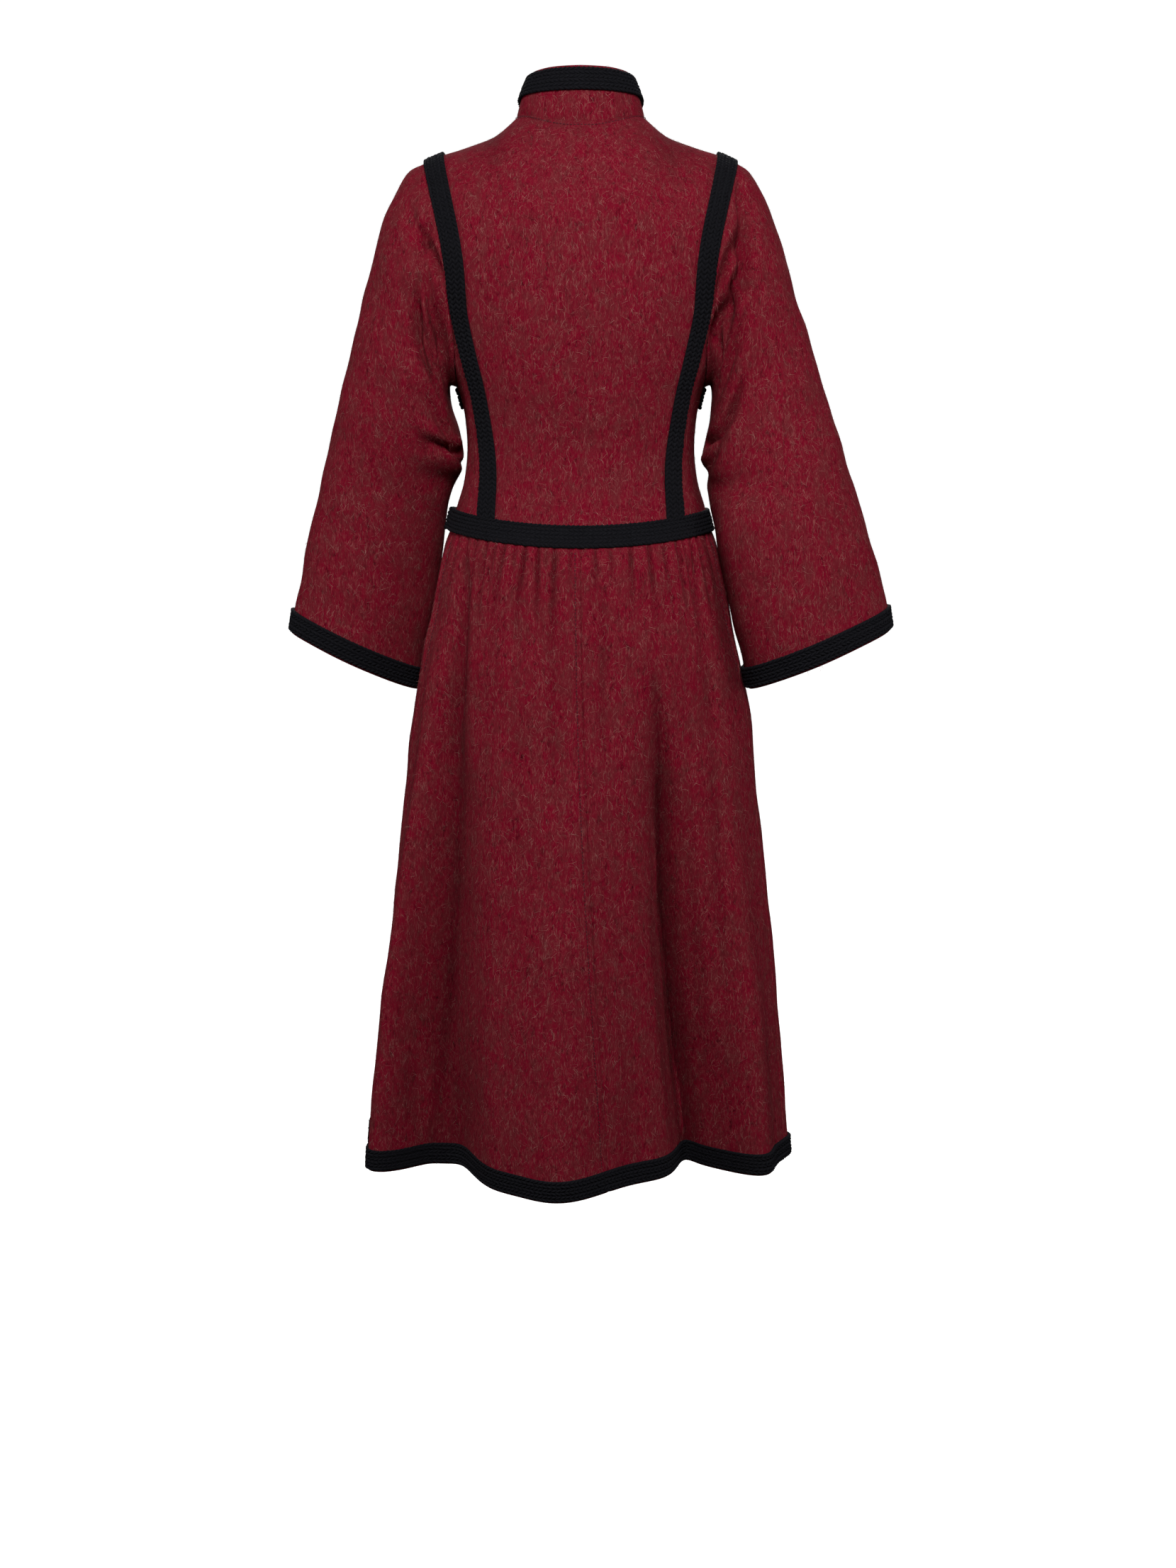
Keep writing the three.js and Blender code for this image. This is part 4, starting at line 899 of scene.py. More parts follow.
# Knitted wool yarn, nearly black with a cool cast, fuzzy along each strand
def makeBraid(name):
    settings = {"Roughness": 0.85, "Specular IOR Level": 0.14, "Sheen Weight": 0.03, "Sheen Roughness": 0.5,
                "Sheen Tint": linear(colours["braidSheen"])}
    material, tree, shader = newMaterial(name, settings)
    coords = objectPlace(tree)
    strands = grain(tree, coords, 0.8, 0.8, 4.0, 0.7, 0.6)
    tone = ramp(tree, strands, ((0.36, colours["braid"]), (0.68, colours["braidLight"])))
    tree.links.new(tone, shader.inputs["Base Color"])
    bump = addNode(tree, "ShaderNodeBump", {"Strength": 0.6, "Distance": 0.0004}, Height=strands)
    tree.links.new(bump.outputs["Normal"], shader.inputs["Normal"])
    return material


# Black horn button, softly polished, with faint cloudy streaks
def makeHorn(name):
    material, tree, shader = newMaterial(name, {"Roughness": 0.32, "Specular IOR Level": 0.5})
    coords = objectPlace(tree)
    cloud = grain(tree, coords, 5, 12, 4.0, 0.6, 1.5)
    tone = ramp(tree, cloud, ((0.35, colours["horn"]), (0.8, colours["hornCloud"])))
    tree.links.new(tone, shader.inputs["Base Color"])
    worn = ramp(tree, cloud, ((0.3, 0.26), (0.8, 0.42)))
    tree.links.new(worn, shader.inputs["Roughness"])
    return material


# A matt surface whose colour drifts between two close tones
def makeToned(name, settings, across, dark, light):
    material, tree, shader = newMaterial(name, settings)
    tone = ramp(tree, grain(tree, objectPlace(tree), across, across, 2.0), ((0.3, dark), (0.7, light)))
    tree.links.new(tone, shader.inputs["Base Color"])
    return material


wool = makeWool("brushed_wool")
napRed = makeNap("nap_fibre_red", colours["napRed"], colours["napMid"])
napTan = makeNap("nap_fibre_tan", colours["napMid"], colours["napTan"])
braidYarn = makeBraid("knitted_braid")
horn = makeHorn("black_horn")
# the shade inside a button's holes
hornHole = newMaterial("button_hole_shade", {"Base Color": linear(colours["hornHole"]), "Roughness": 0.9})[0]
# sewing thread, darker than the cloth and a little shiny
threadSettings = {"Roughness": 0.6, "Specular IOR Level": 0.3}
thread = makeToned("sewing_thread", threadSettings, 0.5, colours["threadDark"], colours["thread"])
# pale studio floor, smooth, matt and evenly bright
floorSettings = {
    "Roughness": 0.75, "Specular IOR Level": 0.25,
    "Emission Color": linear(colours["white"]), "Emission Strength": 0.9,
}
floorPaint = makeToned("pale_floor", floorSettings, 900, colours["floorDim"], colours["floor"])
print("stage 2: materials made")


# A smooth mesh piece from points in millimetres
def meshPiece(name, points, faces, material):
    mesh = bpy.data.meshes.new(name)
    points = np.asarray(points, np.float32).reshape(-1, 3) / 1000
    faces = np.asarray(faces, np.int32)
    corners = faces.shape[1]
    mesh.vertices.add(len(points))
    mesh.vertices.foreach_set("co", points.ravel())
    mesh.loops.add(faces.size)
    mesh.loops.foreach_set("vertex_index", faces.ravel())
    mesh.polygons.add(len(faces))
    mesh.polygons.foreach_set("loop_start", np.arange(0, faces.size, corners, dtype=np.int32))
    mesh.polygons.foreach_set("loop_total", np.full(len(faces), corners, np.int32))
    mesh.update(calc_edges=True)
    mesh.polygons.foreach_set("use_smooth", np.ones(len(faces), bool))
    mesh.materials.append(material)
    piece = bpy.data.objects.new(name, mesh)
    bpy.context.scene.collection.objects.link(piece)
    return piece


# Faces of many small patches alike, each a grid of tall by wide points
def patchFaces(count, tall, wide):
    base = np.arange(count)[:, None, None] * tall * wide
    cells = np.array([[j * wide + i, j * wide + i + 1, (j + 1) * wide + i + 1, (j + 1) * wide + i]
                      for j in range(tall - 1) for i in range(wide - 1)])
    return (base + cells[None]).reshape(-1, 4)


# Faces between rings of points, from a first point on
def ringFaces(rings, around, start=0):
    corners = ((0, 0), (0, 1), (1, 1), (1, 0))
    return [tuple(start + (j + up) * around + (k + on) % around for up, on in corners)
            for j in range(rings - 1) for k in range(around)]


def circle(around):
    angles = [2 * math.pi * k / around for k in range(around)]
    return [(math.cos(angle), math.sin(angle)) for angle in angles]


def lengthAlong(line):
    return np.concatenate([[0], np.cumsum(np.linalg.norm(np.diff(line, axis=0), axis=1))])


# How deep each point of a skin lies in a fold, from 0 to 1, found against the skin smoothed across it, for
# the painted shade in folds
def foldShadeOf(outer, ring):
    spacing = np.linalg.norm(np.diff(outer[len(outer) // 2], axis=0), axis=1).mean()
    normal = unit(np.cross(np.gradient(outer, axis=1), np.gradient(outer, axis=0)))
    centre = outer.mean(axis=(0, 1)) * (1 if ring else np.array([1, 0.2, 1]))
    normal = np.where(dot(normal, outer - centre)[..., None] < 0, -normal, normal)
    paintedShade = np.zeros(outer.shape[:2])
    for reach, deep in foldShadeLook["scales"]:
        near = max(int(round(reach / spacing)), 2)
        span = 2 * near + 1
        soft = outer
        for _ in range(2):
            if ring:
                wide = np.concatenate([soft[:, -near:], soft, soft[:, :near]], 1)
            else:
                wide = np.pad(soft, ((0, 0), (near, near), (0, 0)), "reflect", reflect_type="odd")
            total = np.cumsum(np.concatenate([np.zeros_like(wide[:, :1]), wide], 1), axis=1)
            soft = (total[:, span:] - total[:, :-span]) / span
        depth = np.maximum(dot(soft - outer, normal), 0)
        paintedShade = np.maximum(paintedShade, 1 - np.exp(-depth / deep))
    return paintedShade


def givePaintedShade(piece, values):
    layer = piece.data.attributes.new("paintedShade", "FLOAT", "POINT")
    layer.data.foreach_set("value", np.asarray(values, np.float32).ravel())


# Closed cloth of one wall between two skins over a grid, with faces outward
def clothShell(name, columns, rows, surface, ring=False):
    u, v = np.meshgrid(columns, rows)
    outer = surface(u, v, 0.0)
    inner = surface(u, v, -size["wall"])
    wide = len(columns)
    tall = len(rows)
    cells = wide if ring else wide - 1
    i, j = np.meshgrid(np.arange(cells), np.arange(tall - 1))
    i, j = i.ravel(), j.ravel()
    a, b = j * wide + i, j * wide + (i + 1) % wide
    c, d = b + wide, a + wide
    skin = wide * tall
    faces = [np.stack([a, b, c, d], 1), np.stack([a, d, c, b], 1) + skin]
    k = np.arange(cells)
    n = (k + 1) % wide
    top = (tall - 1) * wide
    faces.append(np.stack([k, k + skin, n + skin, n], 1))
    faces.append(np.stack([top + k, top + n, top + n + skin, top + k + skin], 1))
    if not ring:
        m = np.arange(tall - 1) * wide
        e = m + wide - 1
        faces.append(np.stack([m, m + wide, m + wide + skin, m + skin], 1))
        faces.append(np.stack([e, e + skin, e + wide + skin, e + wide], 1))
    faces = np.concatenate(faces)
    first = outer[tall // 2, wide // 3]
    across = outer[tall // 2, wide // 3 + 1] - first
    up = outer[tall // 2 + 1, wide // 3] - first
    if np.dot(np.cross(across, up), first - inner[tall // 2, wide // 3]) < 0:
        faces = faces[:, ::-1]
    piece = meshPiece(name, np.concatenate([outer.reshape(-1, 3), inner.reshape(-1, 3)]), faces, wool)
    return piece, outer


# Every piece rides the one body, and may stand for a node of the solids
def dress(piece, slotName, *nodes):
    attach(piece, "root")
    if nodes:
        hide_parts(*nodes)
    return piece


# Short bent fibres over a cloth's outer skin, mostly lying down the nap
def napMesh(name, base, normal, material, longer):
    count = len(base)
    down = np.array([0.0, 0.0, -1.0])
    stray = rng.normal(size=(count, 3)) * napLook["stray"]
    lie = down * napLook["droop"] + stray
    lie = unit(lie - normal * dot(lie, normal)[:, None])
    side = np.cross(normal, lie)
    length = napLook["long"] * longer * (0.5 + rng.random((count, 1)))
    stand = napLook["stand"] * longer * (0.25 + 1.1 * rng.random((count, 1)) ** 2)
    curl = rng.normal(size=(count, 1)) * 0.6
    wide = napLook["wide"] * (0.6 + 0.6 * rng.random((count, 1)))
    rows = []
    for t, thick in ((0.0, 1.0), (0.5, 0.9), (1.0, 0.2)):
        spine = base + lie * length * t + side * length * curl * math.sin(t * 2.6) * t
        spine = spine + normal * (0.1 + stand * math.sin(t * 2.2))
        rows.append(spine - side * wide * thick / 2)
        rows.append(spine + side * wide * thick / 2)
    points = np.stack(rows, axis=1)
    return meshPiece(name, points.reshape(-1, 3), patchFaces(count, 3, 2), material)


clothPieces = {}
skins = {}
rng = np.random.default_rng(seed)


# A cloth piece with painted shade in its hollows and on a sleeve's inner side, kept for the nap that grows on
# it
def addCloth(name, columns, rows, surface, ring=False):
    piece, outer = clothShell(name + "_cloth", columns, rows, surface, ring)
    paintedShade = foldShadeOf(outer, ring)
    # painted shade on each sleeve's inner side, where it lies beside the body
    if name.startswith("sleeve"):
        turns, along = np.meshgrid(columns, rows)
        beside = np.exp(-((turns * 360 - innerShadeLook["round"]) / innerShadeLook["wide"]) ** 2)
        paintedShade = np.maximum(paintedShade, innerShadeLook["share"] * beside * smooth(along, 0.2, 0.45))
    givePaintedShade(piece, np.concatenate([paintedShade.ravel(), np.zeros(paintedShade.size)]))
    dress(piece, "red_wool", name)
    clothPieces[name] = piece
    skins[name] = (outer, ring, paintedShade)


half = steps(0, 18, neckTurn / tipTurn, 16, 1)
bodiceRows = edged(steps(0, 26, princessMark, 30, 0.8, 18, 1), panel["bodiceHigh"], False)
addCloth("back_bodice", np.concatenate([-half[:0:-1], half]), bodiceRows, backBodice)
frontColumns = edged(half, panel["frontWide"], False)
frontRows = edged(steps(0, 20, frontPit, 26, 0.67, 24, 1), panel["bodiceHigh"], False)
sleeveColumns = steps(0, 66, 0.5, 30, 1)[:-1]
sleeveRows = steps(0, 14, 0.1, 12, 0.24, 26, 0.56, 24, 1)
drops = steps(0, 24, 130, 16, 330, 20, skirtLength)
sideColumns = edged(steps(0, 14, 1), panel["sideWide"], False)
backColumns = edged(steps(0, 128, 1), panel["skirtBackWide"])
skirtColumns = edged(steps(0, 76, 1), panel["skirtFrontWide"], False)
for side, way in (("left", 1), ("right", -1)):
    addCloth("side_back_" + side, sideColumns, steps(0, 30, 1), sideBack(way))
    addCloth("front_" + side, frontColumns, frontRows, frontBodice(way))

    def sleeveSurface(u, v, lift, side=side, way=way):
        return toSide(sleeveRaised(side, u, v, lift), way)

    addCloth("sleeve_" + side, sleeveColumns, sleeveRows, sleeveSurface, True)
    addCloth("skirt_back_" + side, backColumns, drops, skirtBack(way))
    addCloth("skirt_front_" + side, skirtColumns, drops, skirtFront(way))


def collarSkin(around, rise, lift):
    return collarRaised(around, rise, lift + rolled(rise * panel["collarHigh"], 0.35))


addCloth("collar", np.linspace(-collarEnd, collarEnd, 120), steps(-0.03, 4, 0.1, 9, 1), collarSkin)
print("stage 3: cloth", sum(len(p.data.polygons) for p in clothPieces.values()), "faces")


# A strip of braid is held as lines along its left edge, middle and right edge, with its outward direction
def strip(left, middle, right, out, closed=False):
    if closed:
        left, middle, right, out = (np.concatenate([x, x[:1]]) for x in (left, middle, right, out))
    length = lengthAlong(middle)
    return {"left": left, "middle": middle, "right": right, "out": unit(out), "length": length}


# Point of a strip at a distance along it, across it from -1 to 1 and at a height off it
def stripPoint(braid, s, a, h):
    sides = ("left", "middle", "right", "out")
    left, middle, right, out = (alongLine(braid["length"], braid[key], s) for key in sides)
    a, h = a[..., None], h[..., None]
    return left * a * (a - 1) / 2 + middle * (1 - a * a) + right * a * (a + 1) / 2 + out * h


# Ground of the braid: a flat ribbon with rounded edges
def braidGround(braid):
    count = max(int(braid["length"][-1] / 5), 12)
    s = np.linspace(0, braid["length"][-1], count + 1)
    side = [(0.9, 1.0), (0.99, 0.6), (0.98, 0.15)]
    profile = np.array([(-a, h) for a, h in side[::-1]] + [(0, 1.0)] + side + [(0, 0.15)])
    ss, aa = np.meshgrid(s, profile[:, 0], indexing="ij")
    height = np.broadcast_to(braidLook["lift"] + profile[:, 1] * braidLook["under"], ss.shape)
    points = stripPoint(braid, ss, aa, height)
    n = len(profile)
    k, m = np.meshgrid(np.arange(count), np.arange(n), indexing="ij")
    k, m = k.ravel(), m.ravel()
    following = (m + 1) % n
    faces = np.stack([k * n + m, k * n + following, (k + 1) * n + following, (k + 1) * n + m], 1)
    return points.reshape(-1, 3), faces


# Stitches of the braid: domed legs in pairs that make rows of V shapes along it
def braidStitches(braid):
    total = braid["length"][-1]
    rowCount = max(int(round(total / braidLook["pitch"])), 4)
    pitch = total / rowCount
    columns = braidLook["columns"]
    cell = 2 * wideHalf / columns
    legs = np.array([((column + 0.5) / columns * 2 - 1, way) for column in range(columns) for way in (-1, 1)])
    row, leg = np.meshgrid(np.arange(rowCount), np.arange(len(legs)), indexing="ij")
    row, leg = row.ravel(), leg.ravel()
    centre = legs[leg, 0] * wideHalf
    way = legs[leg, 1]
    along, aside, higher = rng.normal(size=(3, len(row)))[:, :, None, None] * braidLook["uneven"]
    # one leg: five places along it with its fatness there, and four angles over its top
    t = np.array([0.0, 0.16, 0.5, 0.84, 1.0])
    fat = np.array([0.2, 0.86, 1.0, 0.8, 0.2])
    angle = np.array([-1.0, -0.35, 0.35, 1.0]) * quarter
    tt, aa = np.meshgrid(t, angle, indexing="ij")
    body = np.broadcast_to(fat[:, None], tt.shape)
    start = (centre + way * cell * 0.44)[:, None, None]
    end = (centre + way * cell * 0.06)[:, None, None]
    s = ((row + 0.05) * pitch)[:, None, None] + along + pitch * 1.42 * tt
    across = start + (end - start) * tt + aside * 0.5 + np.sin(aa) * body * braidLook["legWide"] / 2
    dome = np.cos(aa) * body * braidLook["legHigh"] * (1 + higher * 0.4)
    height = braidLook["lift"] + braidLook["under"] - 0.5 + dome + 0.5 * tt
    points = stripPoint(braid, np.clip(s, 0, total), across / wideHalf, height)
    return points.reshape(-1, 3), patchFaces(len(row), 5, 4)


def addBraid(name, braid):
    groundPoints, groundFaces = braidGround(braid)
    stitchPoints, stitchFaces = braidStitches(braid)
    out = alongLine(braid["length"], braid["out"], np.array([braid["length"][-1] / 2]))[0]
    middle = len(stitchFaces) // 2
    a, b, c = (stitchPoints[stitchFaces[middle, k]] for k in (0, 1, 2))
    if np.dot(np.cross(b - a, c - a), out) < 0:
        stitchFaces = stitchFaces[:, ::-1]
        groundFaces = groundFaces[:, ::-1]
    points = np.concatenate([groundPoints, stitchPoints])
    faces = np.concatenate([groundFaces, stitchFaces + len(groundPoints)])
    piece = meshPiece(name + "_knit", points, faces, braidYarn)
    dress(piece, "black_braid", name)
    return piece


wideHalf = braidLook["wide"] / 2


# Turn and level of a line inside the armhole seam, at a distance from it
def insetPlace(turns, distance):
    seam = armholePoint(turns)
    along = unit(armholePoint(turns + 0.004) - armholePoint(turns - 0.004))
    turn, level = placeOf(seam)
    out = outward(bodicePoint, turn, np.minimum(level, 0.995), chestCentre)
    inward = unit(np.cross(out, along))
    wrong = dot(inward, armholePoint(turns + 0.5) - seam) > 0
    inward = np.where(wrong[..., None], -inward, inward)
    return settle(seam + inward * distance, turn, level)


# Armhole braid: up the princess seam, over the shoulder, down the front and to a short end under the arm
def armholeStrip(way):
    z = np.linspace(princessFoot + wideHalf - 2, -222, 28)
    turns = steps(0.345, 26, 0.08, 28, -0.08, 42, -0.45, 8, braidLook["stubEnd"])
    turn, level = insetPlace(turns, wideHalf + braidLook["inset"])
    turn = np.concatenate([turnAt(princess(z), z), turn])
    level = np.concatenate([levelAt(0.0, z), level])
    middle = bodicePoint(turn, level)
    # even out the join between the princess seam and the armhole
    for _ in range(10):
        middle[1:-1] = (middle[:-2] + 2 * middle[1:-1] + middle[2:]) / 4
        turn, level = settle(middle, turn, level)
        middle = bodicePoint(turn, level)
    along = unit(np.gradient(middle, axis=0))
    out = outward(bodicePoint, turn, np.minimum(level, 0.998), chestCentre)
    sideways = unit(np.cross(along, out))
    edges = []
    for edgeWay in (-1, 1):
        point = middle + sideways * edgeWay * wideHalf
        # the end under the arm keeps clear of the run up the princess seam
        late = (np.arange(len(middle)) > len(middle) - 10) & (point[:, 1] > 0)
        edge = princess(np.minimum(point[:, 2], size["princessTop"])) + wideHalf + braidLook["inset"] * 2
        point[:, 0] = np.where(late, np.maximum(point[:, 0], edge), point[:, 0])
        edgeTurns, edgeLevels = settle(point, turn, level)
        edges.append(bodicePoint(edgeTurns, edgeLevels))
    flip = np.array([way, 1, 1])
    return strip(edges[0] * flip, middle * flip, edges[1] * flip, out * flip)


# A strip round the coat or a sleeve, from a surface that takes a place and a side from -1 to 1
def ringStrip(surface, places, closed=False):
    left, middle, right = (surface(places, k) for k in (-1.0, 0.0, 1.0))
    raised = surface(places, 0.0, 1.0)
    return strip(left, middle, right, raised - middle, closed)


# Turns of a strip right round the coat, from the lower front's edge under the lap to the upper one's
def roundTurns(half, count):
    past = math.asin(size["overlapHalf"] / half)
    short = math.asin((size["overlapHalf"] + 1) / half)
    return np.linspace(-math.pi - past, math.pi - short, count)


def frontRise(turn, z):
    return np.where(np.abs(turn) > quarter, overlapRise(planPoint(skirt, turn, z)[..., 0]), 0)


def waistSurface(turn, across, lift=0.0):
    z = waistAt(turn) - across * wideHalf
    rise = lift + frontRise(turn, z)
    if across < 0:
        return bodiceRaised(turn, levelBelow(z), rise)
    return skirtRaised(turn, z, rise)


def hemSurface(turn, across, lift=0.0):
    z = size["hemZ"] + braidLook["clothEdge"] + (across + 1) * wideHalf
    z = np.full_like(turn, z)
    return skirtRaised(turn, z, lift + frontRise(turn, z))


def collarSurface(around, across, lift=0.0):
    ends = [collarPoint(around, np.full_like(around, share)) for share in (1.0, 0.0)]
    tall = np.linalg.norm(ends[0] - ends[1], axis=-1)
    down = braidLook["clothEdge"] + (across + 1) * wideHalf
    return collarRaised(around, 1 - down / tall, lift)


def cuffSurface(side, way):
    def surface(turns, across, lift=0.0):
        step = 0.02
        ones = np.ones_like(turns)
        last = sleevePoint(side, turns, ones) - sleevePoint(side, turns, ones - step)
        length = np.linalg.norm(last, axis=-1) / step
        along = 1 - (braidLook["clothEdge"] + (across + 1) * wideHalf) / length
        return toSide(sleeveRaised(side, turns, along, lift), way)

    return surface


braids = {}
for side, way in (("left", 1), ("right", -1)):
    braids["braid_armhole_" + side] = armholeStrip(way)
    braids["braid_cuff_" + side] = ringStrip(cuffSurface(side, way), np.linspace(0, 1, 97)[:-1], True)
braids["braid_collar"] = ringStrip(collarSurface, np.linspace(-collarEnd, collarEnd, 120))
braids["braid_waist"] = ringStrip(waistSurface, roundTurns(float(skirt["half"](size["waistZ"])), 240))
braids["braid_hem"] = ringStrip(hemSurface, roundTurns(float(skirt["half"](size["hemZ"])), 420))
braidPieces = {name: addBraid(name, braid) for name, braid in braids.items()}
print("stage 4: braids", sum(len(p.data.polygons) for p in braidPieces.values()), "faces")


# Nap fibres over every cloth piece, red ones and fewer tan ones
def skinNap(name, outer, ring, paintedShade, perCm2):
    grid = np.concatenate([outer, outer[:, :1]], axis=1) if ring else outer
    a, b, c = grid[:-1, :-1], grid[:-1, 1:], grid[1:, :-1]
    normals = np.cross(b - a, c - a)
    area = np.linalg.norm(normals, axis=-1)
    flat = area.ravel()
    count = int(flat.sum() / 100 * perCm2)
    cell = rng.choice(len(flat), count, p=flat / flat.sum())
    j, i = np.unravel_index(cell, area.shape)
    p, q = rng.random((2, count, 1))
    base = (grid[j, i] * (1 - p) * (1 - q) + grid[j, i + 1] * p * (1 - q)
            + grid[j + 1, i] * (1 - p) * q + grid[j + 1, i + 1] * p * q)
    normal = unit(normals[j, i])
    vertices = clothPieces[name].data.vertices
    facing = np.zeros(len(vertices) * 3, np.float32)
    vertices.foreach_get("normal", facing)
    wide = outer.shape[1]
    mine = facing.reshape(-1, 3)[j * wide + i % wide]
    shade = paintedShade.ravel()[j * wide + i % wide]
    normal = np.where((dot(normal, mine) < 0)[:, None], -normal, normal)
    return base, normal, shade


braidLine = np.concatenate([braid["middle"] for braid in braids.values()]).astype(np.float32)
# how far from the middle of a braid no nap grows, and how many fibres are tested at once
bareHalf = 12.6
batch = 4000


# Whether each fibre stands clear of every braid, tested in batches
def clearOfBraid(base):
    near = np.zeros(len(base), bool)
    for start in range(0, len(base), batch):
        off = base[start:start + batch, None].astype(np.float32) - braidLine[None]
        near[start:start + batch] = np.einsum("ijk,ijk->ij", off, off).min(axis=1) < bareHalf ** 2
    return ~near


napGroups = {
    "bodice": ("back_bodice", "side_back_left", "side_back_right", "front_left", "front_right", "collar"),
    "sleeves": ("sleeve_left", "sleeve_right"),
    "skirt_back": ("skirt_back_left", "skirt_back_right"),
    "skirt_front": ("skirt_front_left", "skirt_front_right"),
}


def addNap(kind, perCm2, material, longer):
    for group, names in napGroups.items():
        found = [skinNap(name, *skins[name], perCm2) for name in names]
        base, normal, shade = (np.concatenate([f[k] for f in found]) for k in range(3))
        clear = clearOfBraid(base)
        piece = napMesh(f"nap_{kind}_{group}", base[clear], normal[clear], material, longer)
        # each fibre takes the painted shade of the cloth where it grows
        givePaintedShade(piece, np.repeat(shade[clear], 6))
        dress(piece, "red_wool")


# kind, share of all fibres, material and how much longer than the rest
for kind, share, material, longer in (("red", 0.72, napRed, 1.0), ("tan", 0.28, napTan, 1.25)):
    addNap(kind, napLook["perCm2"] * share, material, longer)
print("stage 5: nap made")


# A row of sewn stitches along a line of points with outward directions
def stitchRow(name, line, out):
    length = lengthAlong(line)
    pitch = stitchLook["long"] + stitchLook["gap"]
    count = int(length[-1] / pitch)
    start = (np.arange(count) + 0.2) * pitch
    t = np.array([0.0, 0.25, 0.75, 1.0])
    fat = np.array([0.3, 1.0, 1.0, 0.3])
    s = start[:, None] + t[None] * stitchLook["long"]
    centre = alongLine(length, line, s)
    normal = unit(alongLine(length, out, s))
    ahead = unit(alongLine(length, line, s + 0.5) - alongLine(length, line, s - 0.5))
    side = unit(np.cross(normal, ahead))
    ring = []
    for angle in (0.0, 0.25, 0.5, 0.75, 1.0):
        turn = math.pi * angle
        offset = side * (math.cos(turn) * stitchLook["wide"]) * fat[None, :, None]
        lift = normal * (math.sin(turn) * stitchLook["high"] * 2 + 0.1) * fat[None, :, None]
        ring.append(centre + offset + lift)
    points = np.stack(ring, axis=2)
    dress(meshPiece(name, points.reshape(-1, 3), patchFaces(count, 4, 5), thread), "red_wool")


def lineAndOut(surface, places, across, lift):
    low = surface(places, across, lift)
    return low, surface(places, across, lift + 1.0) - low


around = np.linspace(-collarEnd + 0.05, collarEnd - 0.05, 160)
turn, level = neckPlace(around)
line, out = lineAndOut(bodiceRaised, turn, level - 4.6 / 110, 0.3)
stitchRow("stitches_collar", line, out)
drop = np.linspace(16, skirtLength - 30, 260)
height = size["waistZ"] - drop
wideBack = (math.radians(size["sideSeam"]) - backSeamTurn(height)) * skirt["half"](height)
line, out = lineAndOut(skirtBack(1), 6.0 / wideBack, drop, 0.25)
stitchRow("stitches_back_seam", line, out)
for way in (1, -1):
    side = "left" if way > 0 else "right"
    drop = np.linspace(-size["pocketTop"] + size["waistZ"] + 6, -size["pocketBottom"] + size["waistZ"], 60)
    for part, surface, wide in (("back", skirtBack(way), 225.0), ("front", skirtFront(way), 300.0)):
        line, out = lineAndOut(surface, np.full_like(drop, 1 - pocketLook["stitchAt"] / wide), drop, 0.25)
        stitchRow(f"stitches_pocket_{part}_{side}", line, out)
print("stage 6: stitching made")


# Seat of a button on the lapped front, and its direction outward
def buttonSeat(z):
    lift = size["overlapLift"] + 0.4
    turn = np.array([math.pi])
    height = np.array([float(z)])
    if z > size["waistZ"]:
        level = levelAt(0.0, height)
        seat = bodiceRaised(turn, level, lift)[0]
        return seat, unit(bodiceRaised(turn, level, lift + 1)[0] - seat)
    span = size["levelSpan"]
    centre = np.array([0, 0, float(z)])
    up = outward(lambda a, b: planPoint(skirt, a, b * span), turn, height / span, centre)[0]
    return planPoint(skirt, turn, height)[0] + up * lift, up


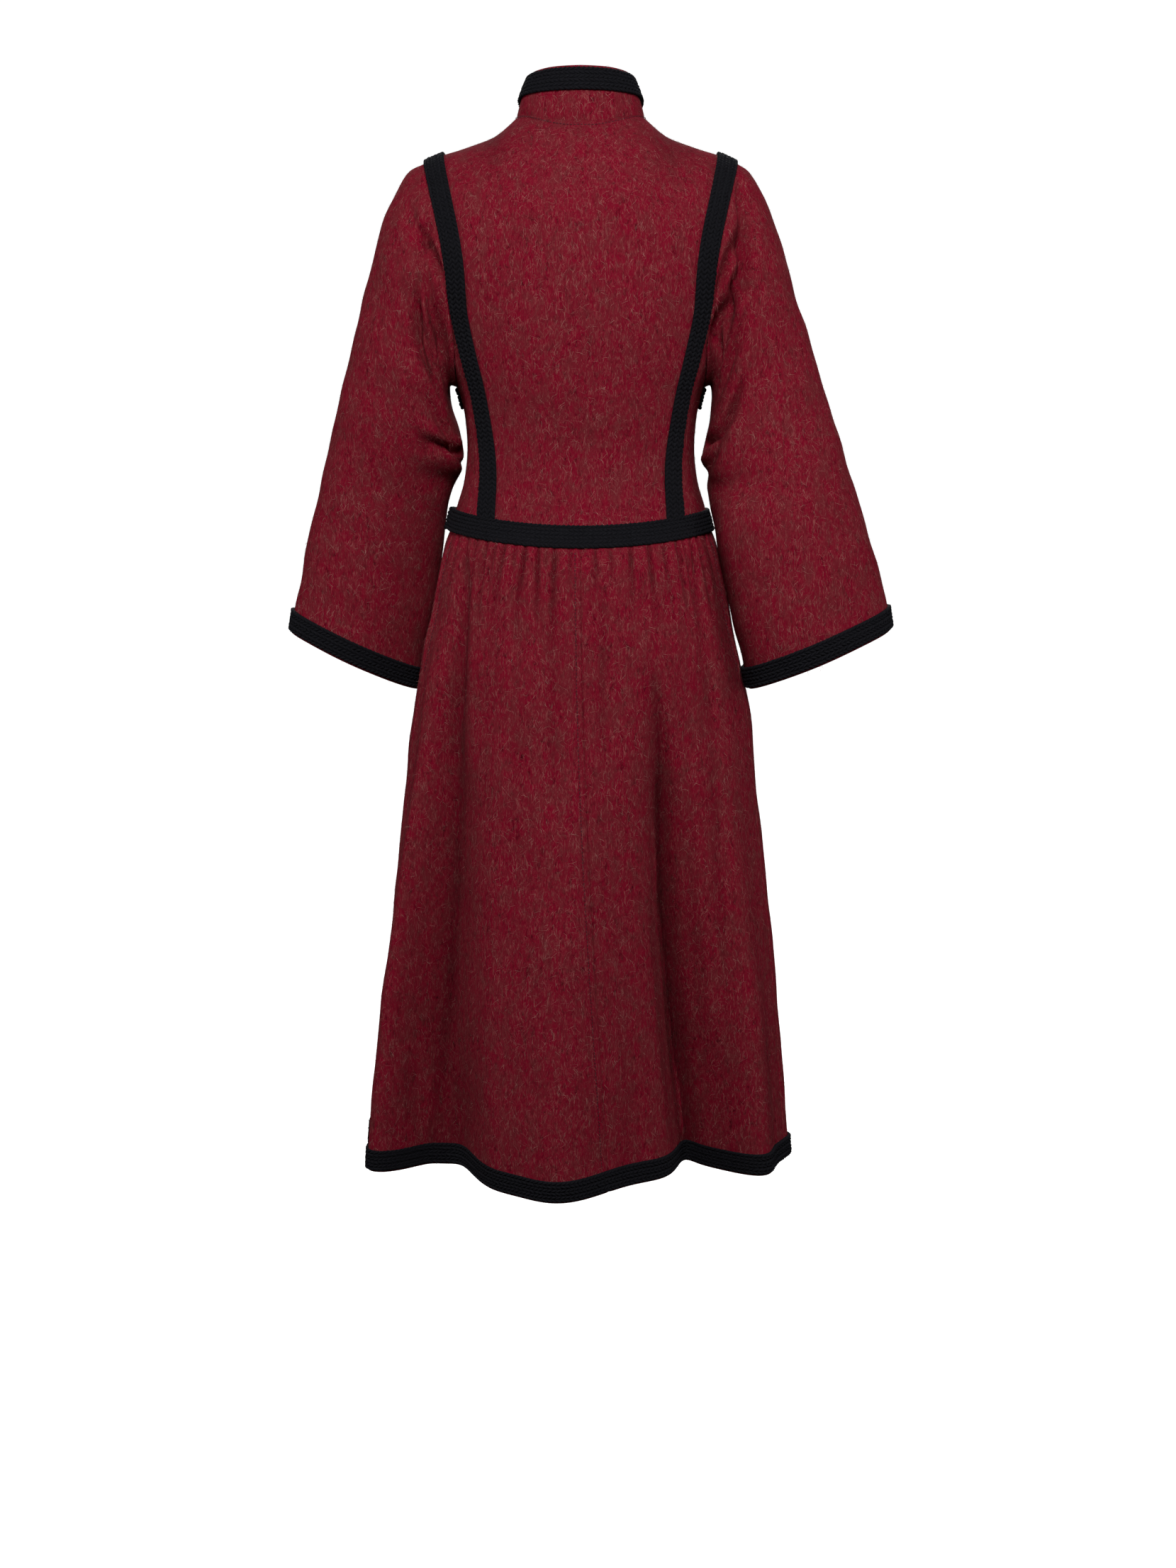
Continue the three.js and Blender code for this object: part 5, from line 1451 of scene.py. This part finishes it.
# Button with a raised rim, a dished middle and four dark holes sewn through with two lengths of thread
def addButton(index, z):
    seat, up = buttonSeat(z)
    right = unit(np.cross(np.array([0.0, 0.0, 1.0]), up))
    top = np.cross(up, right)
    half = buttonLook["half"]

    def place(x, y, h):
        return seat + right * x * half + top * y * half + up * h * buttonLook["thick"]

    def turned(x, y, rings, around):
        points = [place(x + r * c, y + r * s, h) for r, h in rings for c, s in circle(around)]
        return points, ringFaces(len(rings), around)

    rim = ((0, 0), (0.8, 0), (0.96, 0.14), (1, 0.4), (0.98, 0.7), (0.9, 0.95), (0.8, 1.0))
    dish = ((0.68, 0.92), (0.6, 0.74), (0.42, 0.66), (0, 0.64))
    disc = meshPiece(f"button_{index}_horn", *turned(0, 0, rim + dish, 40), horn)
    dress(disc, "black_button", f"button_{index}")
    apart = 0.18
    wide = buttonLook["hole"] / half
    hole = ((wide * 1.25, 0.66), (wide * 1.1, 0.72), (wide * 0.9, 0.7), (0.01, 0.6))
    points, faces = [], []
    for x, y in ((-apart, -apart), (apart, -apart), (apart, apart), (-apart, apart)):
        ring, quads = turned(x, y, hole, 12)
        faces += [tuple(corner + len(points) for corner in quad) for quad in quads]
        points += ring
    dress(meshPiece(f"button_{index}_holes", points, faces, hornHole), "black_button")
    points, faces = [], []
    rows, around, thin = 9, 6, 0.45
    for way in (-1, 1):
        faces += ringFaces(rows, around, len(points))
        aside = (right - top * way) / 1.414 * thin
        for t in np.linspace(-1, 1, rows):
            middle = place(apart * t, apart * t * way, 0.72 + 0.16 * math.sin(math.pi * (t + 1) / 2))
            points += [middle + aside * c + up * thin * s for c, s in circle(around)]
    dress(meshPiece(f"button_{index}_thread", points, faces, thread), "black_button")


for index, z in enumerate(buttonLook["heights"]):
    addButton(index + 1, z)
print("stage 7: buttons made")


# Plain pale floor that curves up all round, and soft studio light
def makeStage():
    bend = studio["bend"]
    bendSteps = 12
    profile = [(0.5, studio["floorZ"]), (studio["flat"], studio["floorZ"])]
    for k in range(1, bendSteps + 1):
        angle = quarter * k / bendSteps
        reach = studio["flat"] + bend * math.sin(angle)
        profile.append((reach, studio["floorZ"] + bend * (1 - math.cos(angle))))
    profile.append((studio["flat"] + bend, studio["wallTop"]))
    around = 48
    points = [(r * c, r * s, z) for r, z in profile for c, s in circle(around)]
    floor = meshPiece("studio_floor", points, ringFaces(len(profile), around), floorPaint)
    # the floor is a plain ground for the eye and throws no light up on the coat
    floor.visible_diffuse = False
    floor.visible_glossy = False


def makeLight(name, place, aim, wide, power):
    data = bpy.data.lights.new(name, "AREA")
    data.shape = "RECTANGLE"
    data.size, data.size_y = wide
    data.energy = power
    light = bpy.data.objects.new(name, data)
    light.location = place
    ahead = np.array(aim, float) - np.array(place, float)
    light.rotation_euler = Vector(ahead).to_track_quat("-Z", "Y").to_euler()
    bpy.context.scene.collection.objects.link(light)


makeStage()
for name, settings in lights.items():
    makeLight(name, *settings)
world = bpy.data.worlds.new("studio_air")
world.use_nodes = True
world.node_tree.nodes["Background"].inputs["Color"].default_value = studio["air"]
world.node_tree.nodes["Background"].inputs["Strength"].default_value = studio["airStrength"]
bpy.context.scene.world = world
bpy.context.scene.view_settings.view_transform = "Standard"
print("stage 8: floor and light made")
